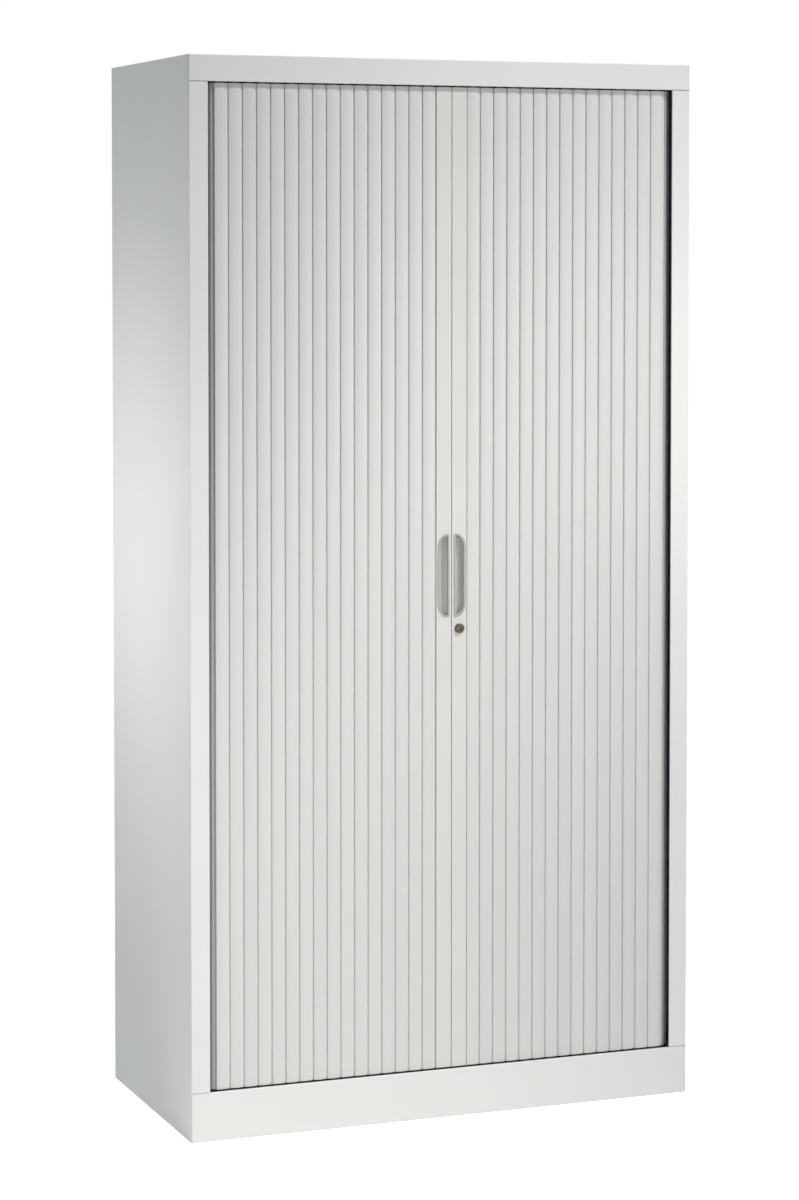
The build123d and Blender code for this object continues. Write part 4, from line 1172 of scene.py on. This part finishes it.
class CABINET_OT_build_shutters(bpy.types.Operator):
    """Build the slats of both shutters, and those round the corners"""

    bl_idname = "cabinet.build_shutters"
    bl_label = "Build the shutters"
    bl_options = {"REGISTER", "UNDO"}

    def execute(self, context):
        """Slats on the front run move with their shutter; the last ones stay at the corners."""
        cabinet = context.scene.cabinet
        sizes = cabinet.shutters
        plastic = slat_plastic("slat_plastic", cabinet.colours, sizes)
        # Painted shade: the slats round the corners get a darker copy of the plastic for the posts' shade.
        tail_shade_plastic = slat_plastic("sheltered_slat_plastic", cabinet.colours, sizes, TAIL_SHADE_LEVEL)
        left_count = slat_count(sizes, LEFT_SLATS)
        left = shutter_slats("left_shutter_slats_detailed", sizes, LEFT_SLATS, "left_shutter", 0, plastic)
        right = shutter_slats(
            "right_shutter_slats_detailed", sizes, RIGHT_SLATS, "right_shutter", left_count, plastic
        )
        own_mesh(left)
        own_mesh(right)
        tail_slats("left_tail_slats_detailed", sizes, -1, tail_shade_plastic)
        tail_slats("right_tail_slats_detailed", sizes, 1, tail_shade_plastic)
        return {"FINISHED"}


class CABINET_OT_finish_leads(bpy.types.Operator):
    """Finish the two leading strips"""

    bl_idname = "cabinet.finish_leads"
    bl_label = "Finish the leading strips"
    bl_options = {"REGISTER", "UNDO"}

    def execute(self, context):
        """Give both strips the extruded plastic."""
        cabinet = context.scene.cabinet
        coat(lead_plastic(cabinet.colours), "left_lead_strip", "right_lead_strip")
        return {"FINISHED"}


class CABINET_OT_build_grips(bpy.types.Operator):
    """Build the two finger shells"""

    bl_idname = "cabinet.build_grips"
    bl_label = "Build the grips"
    bl_options = {"REGISTER", "UNDO"}

    def execute(self, context):
        """A shell in each leading strip, one the mirror image of the other."""
        cabinet = context.scene.cabinet
        grip = cabinet.grips
        # Painted light in the grips' recess, from just behind the shutter's face.
        painted_light_from = RIGHT_LEAD[0].y + 0.3 * MM
        material = moulded_plastic(
            "grip_plastic", tuple(cabinet.colours.grip), 0.36, 1100.0, 0.012 * MM, painted_light_from=painted_light_from
        )
        finger_shell("right_finger_shell_detailed", grip, RIGHT_SHELL, 1, "right_shutter", material)
        finger_shell("left_finger_shell_detailed", grip, LEFT_SHELL, -1, "left_shutter", material)
        return {"FINISHED"}


class CABINET_OT_build_lock(bpy.types.Operator):
    """Build the lock head and the turning plug"""

    bl_idname = "cabinet.build_lock"
    bl_label = "Build the lock"
    bl_options = {"REGISTER", "UNDO"}

    def execute(self, context):
        """The head stays in the right leading strip and the plug turns in it."""
        cabinet = context.scene.cabinet
        colour = tuple(cabinet.colours.nickel)
        centre = tuple(lock_centre())
        lock_head(cabinet.lock, turned_metal("lock_nickel", colour, centre, 0.14, 0.35))
        lock_plug(cabinet.lock, turned_metal("plug_nickel", shaded(colour, 1.25), centre, 0.2, 0.5))
        return {"FINISHED"}


class CABINET_OT_build_feet(bpy.types.Operator):
    """Build the levelling feet"""

    bl_idname = "cabinet.build_feet"
    bl_label = "Build the feet"
    bl_options = {"REGISTER", "UNDO"}

    def execute(self, context):
        """A threaded stud and a moulded pad at each corner."""
        cabinet = context.scene.cabinet
        zinc = bpy.data.materials["zinc_plate"]
        black = moulded_plastic("foot_plastic", tuple(cabinet.colours.black), 0.5, 700.0, 0.02 * MM)
        for corner in ("left_front", "left_rear", "right_front", "right_rear"):
            threaded_stud(f"{corner}_foot_stud", cabinet.feet, f"{corner}_foot", zinc)
            foot_pad(f"{corner}_foot_pad", cabinet.feet, f"{corner}_foot", black)
        return {"FINISHED"}


LAMPS = (
    # Name, place, the point that it looks at, and width.
    ("key", (1.7, -2.35, 5.4), (-0.4, -0.25, 0.6), 0.4),
    ("side", (-1.15, 0.1, 1.1), (-0.5, 0.1, 1.1), 0.5),
    ("right", (0.9, -1.4, 1.35), (0.2, -0.25, 1.3), 0.7),
    ("low", (0.5, -2.2, 0.8), (0.0, -0.25, 0.8), 0.8),
    ("corner", (-0.9, -1.4, 0.6), (-0.4, -0.25, 0.6), 0.6),
)


def softbox(name, place, target, width, power, colour):
    """A square lamp that looks at a point, and that the camera doesn't see."""
    lamp = bpy.data.lights.new(name, "AREA")
    lamp.size = width
    lamp.energy = power
    lamp.color = colour
    piece = bpy.data.objects.new(name, lamp)
    bpy.context.scene.collection.objects.link(piece)
    piece.location = place
    piece.rotation_euler = (Vector(target) - Vector(place)).to_track_quat("-Z", "Y").to_euler()
    piece.visible_camera = False


def seen_by_camera_or_gloss(wiring):
    """1 for rays from the camera, and for mirror-like and clear rays."""
    path = wiring.node("ShaderNodeLightPath").outputs
    mirrored = wiring.math("MAXIMUM", path["Is Glossy Ray"], path["Is Transmission Ray"])
    return wiring.math("MAXIMUM", path["Is Camera Ray"], mirrored)


class CABINET_OT_set_stage(bpy.types.Operator):
    """Set up the floor, the lamps, the white surroundings and the camera"""

    bl_idname = "cabinet.set_stage"
    bl_label = "Set up the studio"
    bl_options = {"REGISTER", "UNDO"}

    def execute(self, context):
        """A pale floor under soft lamps, and a long lens with a little rise."""
        scene = context.scene
        stage = scene.cabinet.studio
        floor_radius = 40.0
        bm = bmesh.new()
        bmesh.ops.create_circle(bm, cap_ends=True, segments=96, radius=floor_radius)
        ground = Finish("pale_floor")
        mottle = ground.noise(ground.place, 3.0, 3.0)
        colour = ground.mix(ground.spread(mottle, 0.3, 0.7), tuple(stage.floor), shaded(stage.floor, 1.01))
        material = ground.done(colour, 0.9, specular=0.0)
        lift = 1.0 - min(stage.floor) * min(stage.world_cast) * stage.world_level
        glow = ground.times(seen_by_camera_or_gloss(ground), lift)
        ground.feed(ground.shader, "Emission Color", WHITE)
        ground.feed(ground.shader, "Emission Strength", glow)
        floor = finished("floor", bm, material)

        world = bpy.data.worlds.new("studio")
        scene.world = world
        world.use_nodes = True
        w = Wiring(world.node_tree)
        background = world.node_tree.nodes["Background"]
        shown = seen_by_camera_or_gloss(w)
        w.feed(background, "Strength", w.spread(shown, 0.0, 1.0, stage.world_level, 1.0))
        w.feed(background, "Color", w.mix(shown, tuple(stage.world_cast), WHITE))

        for name, place, target, width in LAMPS:
            colour = WHITE if name == "side" else tuple(stage.lamp_cast)
            softbox(f"{name}_lamp", place, target, width, getattr(stage, f"{name}_level"), colour)
        bpy.data.lights["key_lamp"].spread = stage.key_spread

        lens = bpy.data.cameras.new("camera")
        lens.lens = stage.lens
        lens.sensor_width = 36.0
        lens.shift_y = stage.rise
        lens.clip_start = 0.1
        lens.clip_end = 200.0
        camera = bpy.data.objects.new("camera", lens)
        scene.collection.objects.link(camera)
        camera.location = stage.camera_place
        camera.rotation_euler = (math.pi / 2 - stage.camera_pitch, 0.0, -stage.camera_yaw)
        scene.camera = camera
        scene.view_settings.view_transform = "Standard"
        return {"FINISHED"}


class Cabinet(bpy.types.PropertyGroup):
    """All sizes and colours of the cabinet."""

    shutters: PointerProperty(type=ShutterSizes)
    grips: PointerProperty(type=GripSizes)
    lock: PointerProperty(type=LockSizes)
    feet: PointerProperty(type=FootSizes)
    colours: PointerProperty(type=Colours)
    studio: PointerProperty(type=StudioSettings)


STEPS = (
    CABINET_OT_coat_panels,
    CABINET_OT_plate_fittings,
    CABINET_OT_build_shutters,
    CABINET_OT_finish_leads,
    CABINET_OT_build_grips,
    CABINET_OT_build_lock,
    CABINET_OT_build_feet,
    CABINET_OT_set_stage,
)


class CABINET_PT_steps(bpy.types.Panel):
    """The cabinet's steps, sizes and colours"""

    bl_idname = "CABINET_PT_steps"
    bl_label = "Roll front cabinet"
    bl_space_type = "VIEW_3D"
    bl_region_type = "UI"
    bl_category = "Cabinet"

    def draw(self, context):
        """List the operators and their settings."""
        cabinet = context.scene.cabinet
        for step in STEPS:
            self.layout.operator(step.bl_idname)
        for group in Cabinet.__annotations__:
            part = getattr(cabinet, group)
            box = self.layout.box()
            for name in part.bl_rna.properties.keys():
                if name not in ("rna_type", "name"):
                    box.prop(part, name)


CLASSES = (
    ShutterSizes, GripSizes, LockSizes, FootSizes, Colours, StudioSettings, Cabinet, *STEPS, CABINET_PT_steps,
)


def register():
    """Register the classes, and the settings on the scene."""
    for kind in CLASSES:
        bpy.utils.register_class(kind)
    bpy.types.Scene.cabinet = PointerProperty(type=Cabinet)


def unregister():
    """Take the settings and the classes away again."""
    del bpy.types.Scene.cabinet
    for kind in reversed(CLASSES):
        bpy.utils.unregister_class(kind)


def main():
    """Build the whole scene."""
    register()
    for step in STEPS:
        group, name = step.bl_idname.split(".")
        getattr(getattr(bpy.ops, group), name)()


if __name__ == "__main__":
    main()
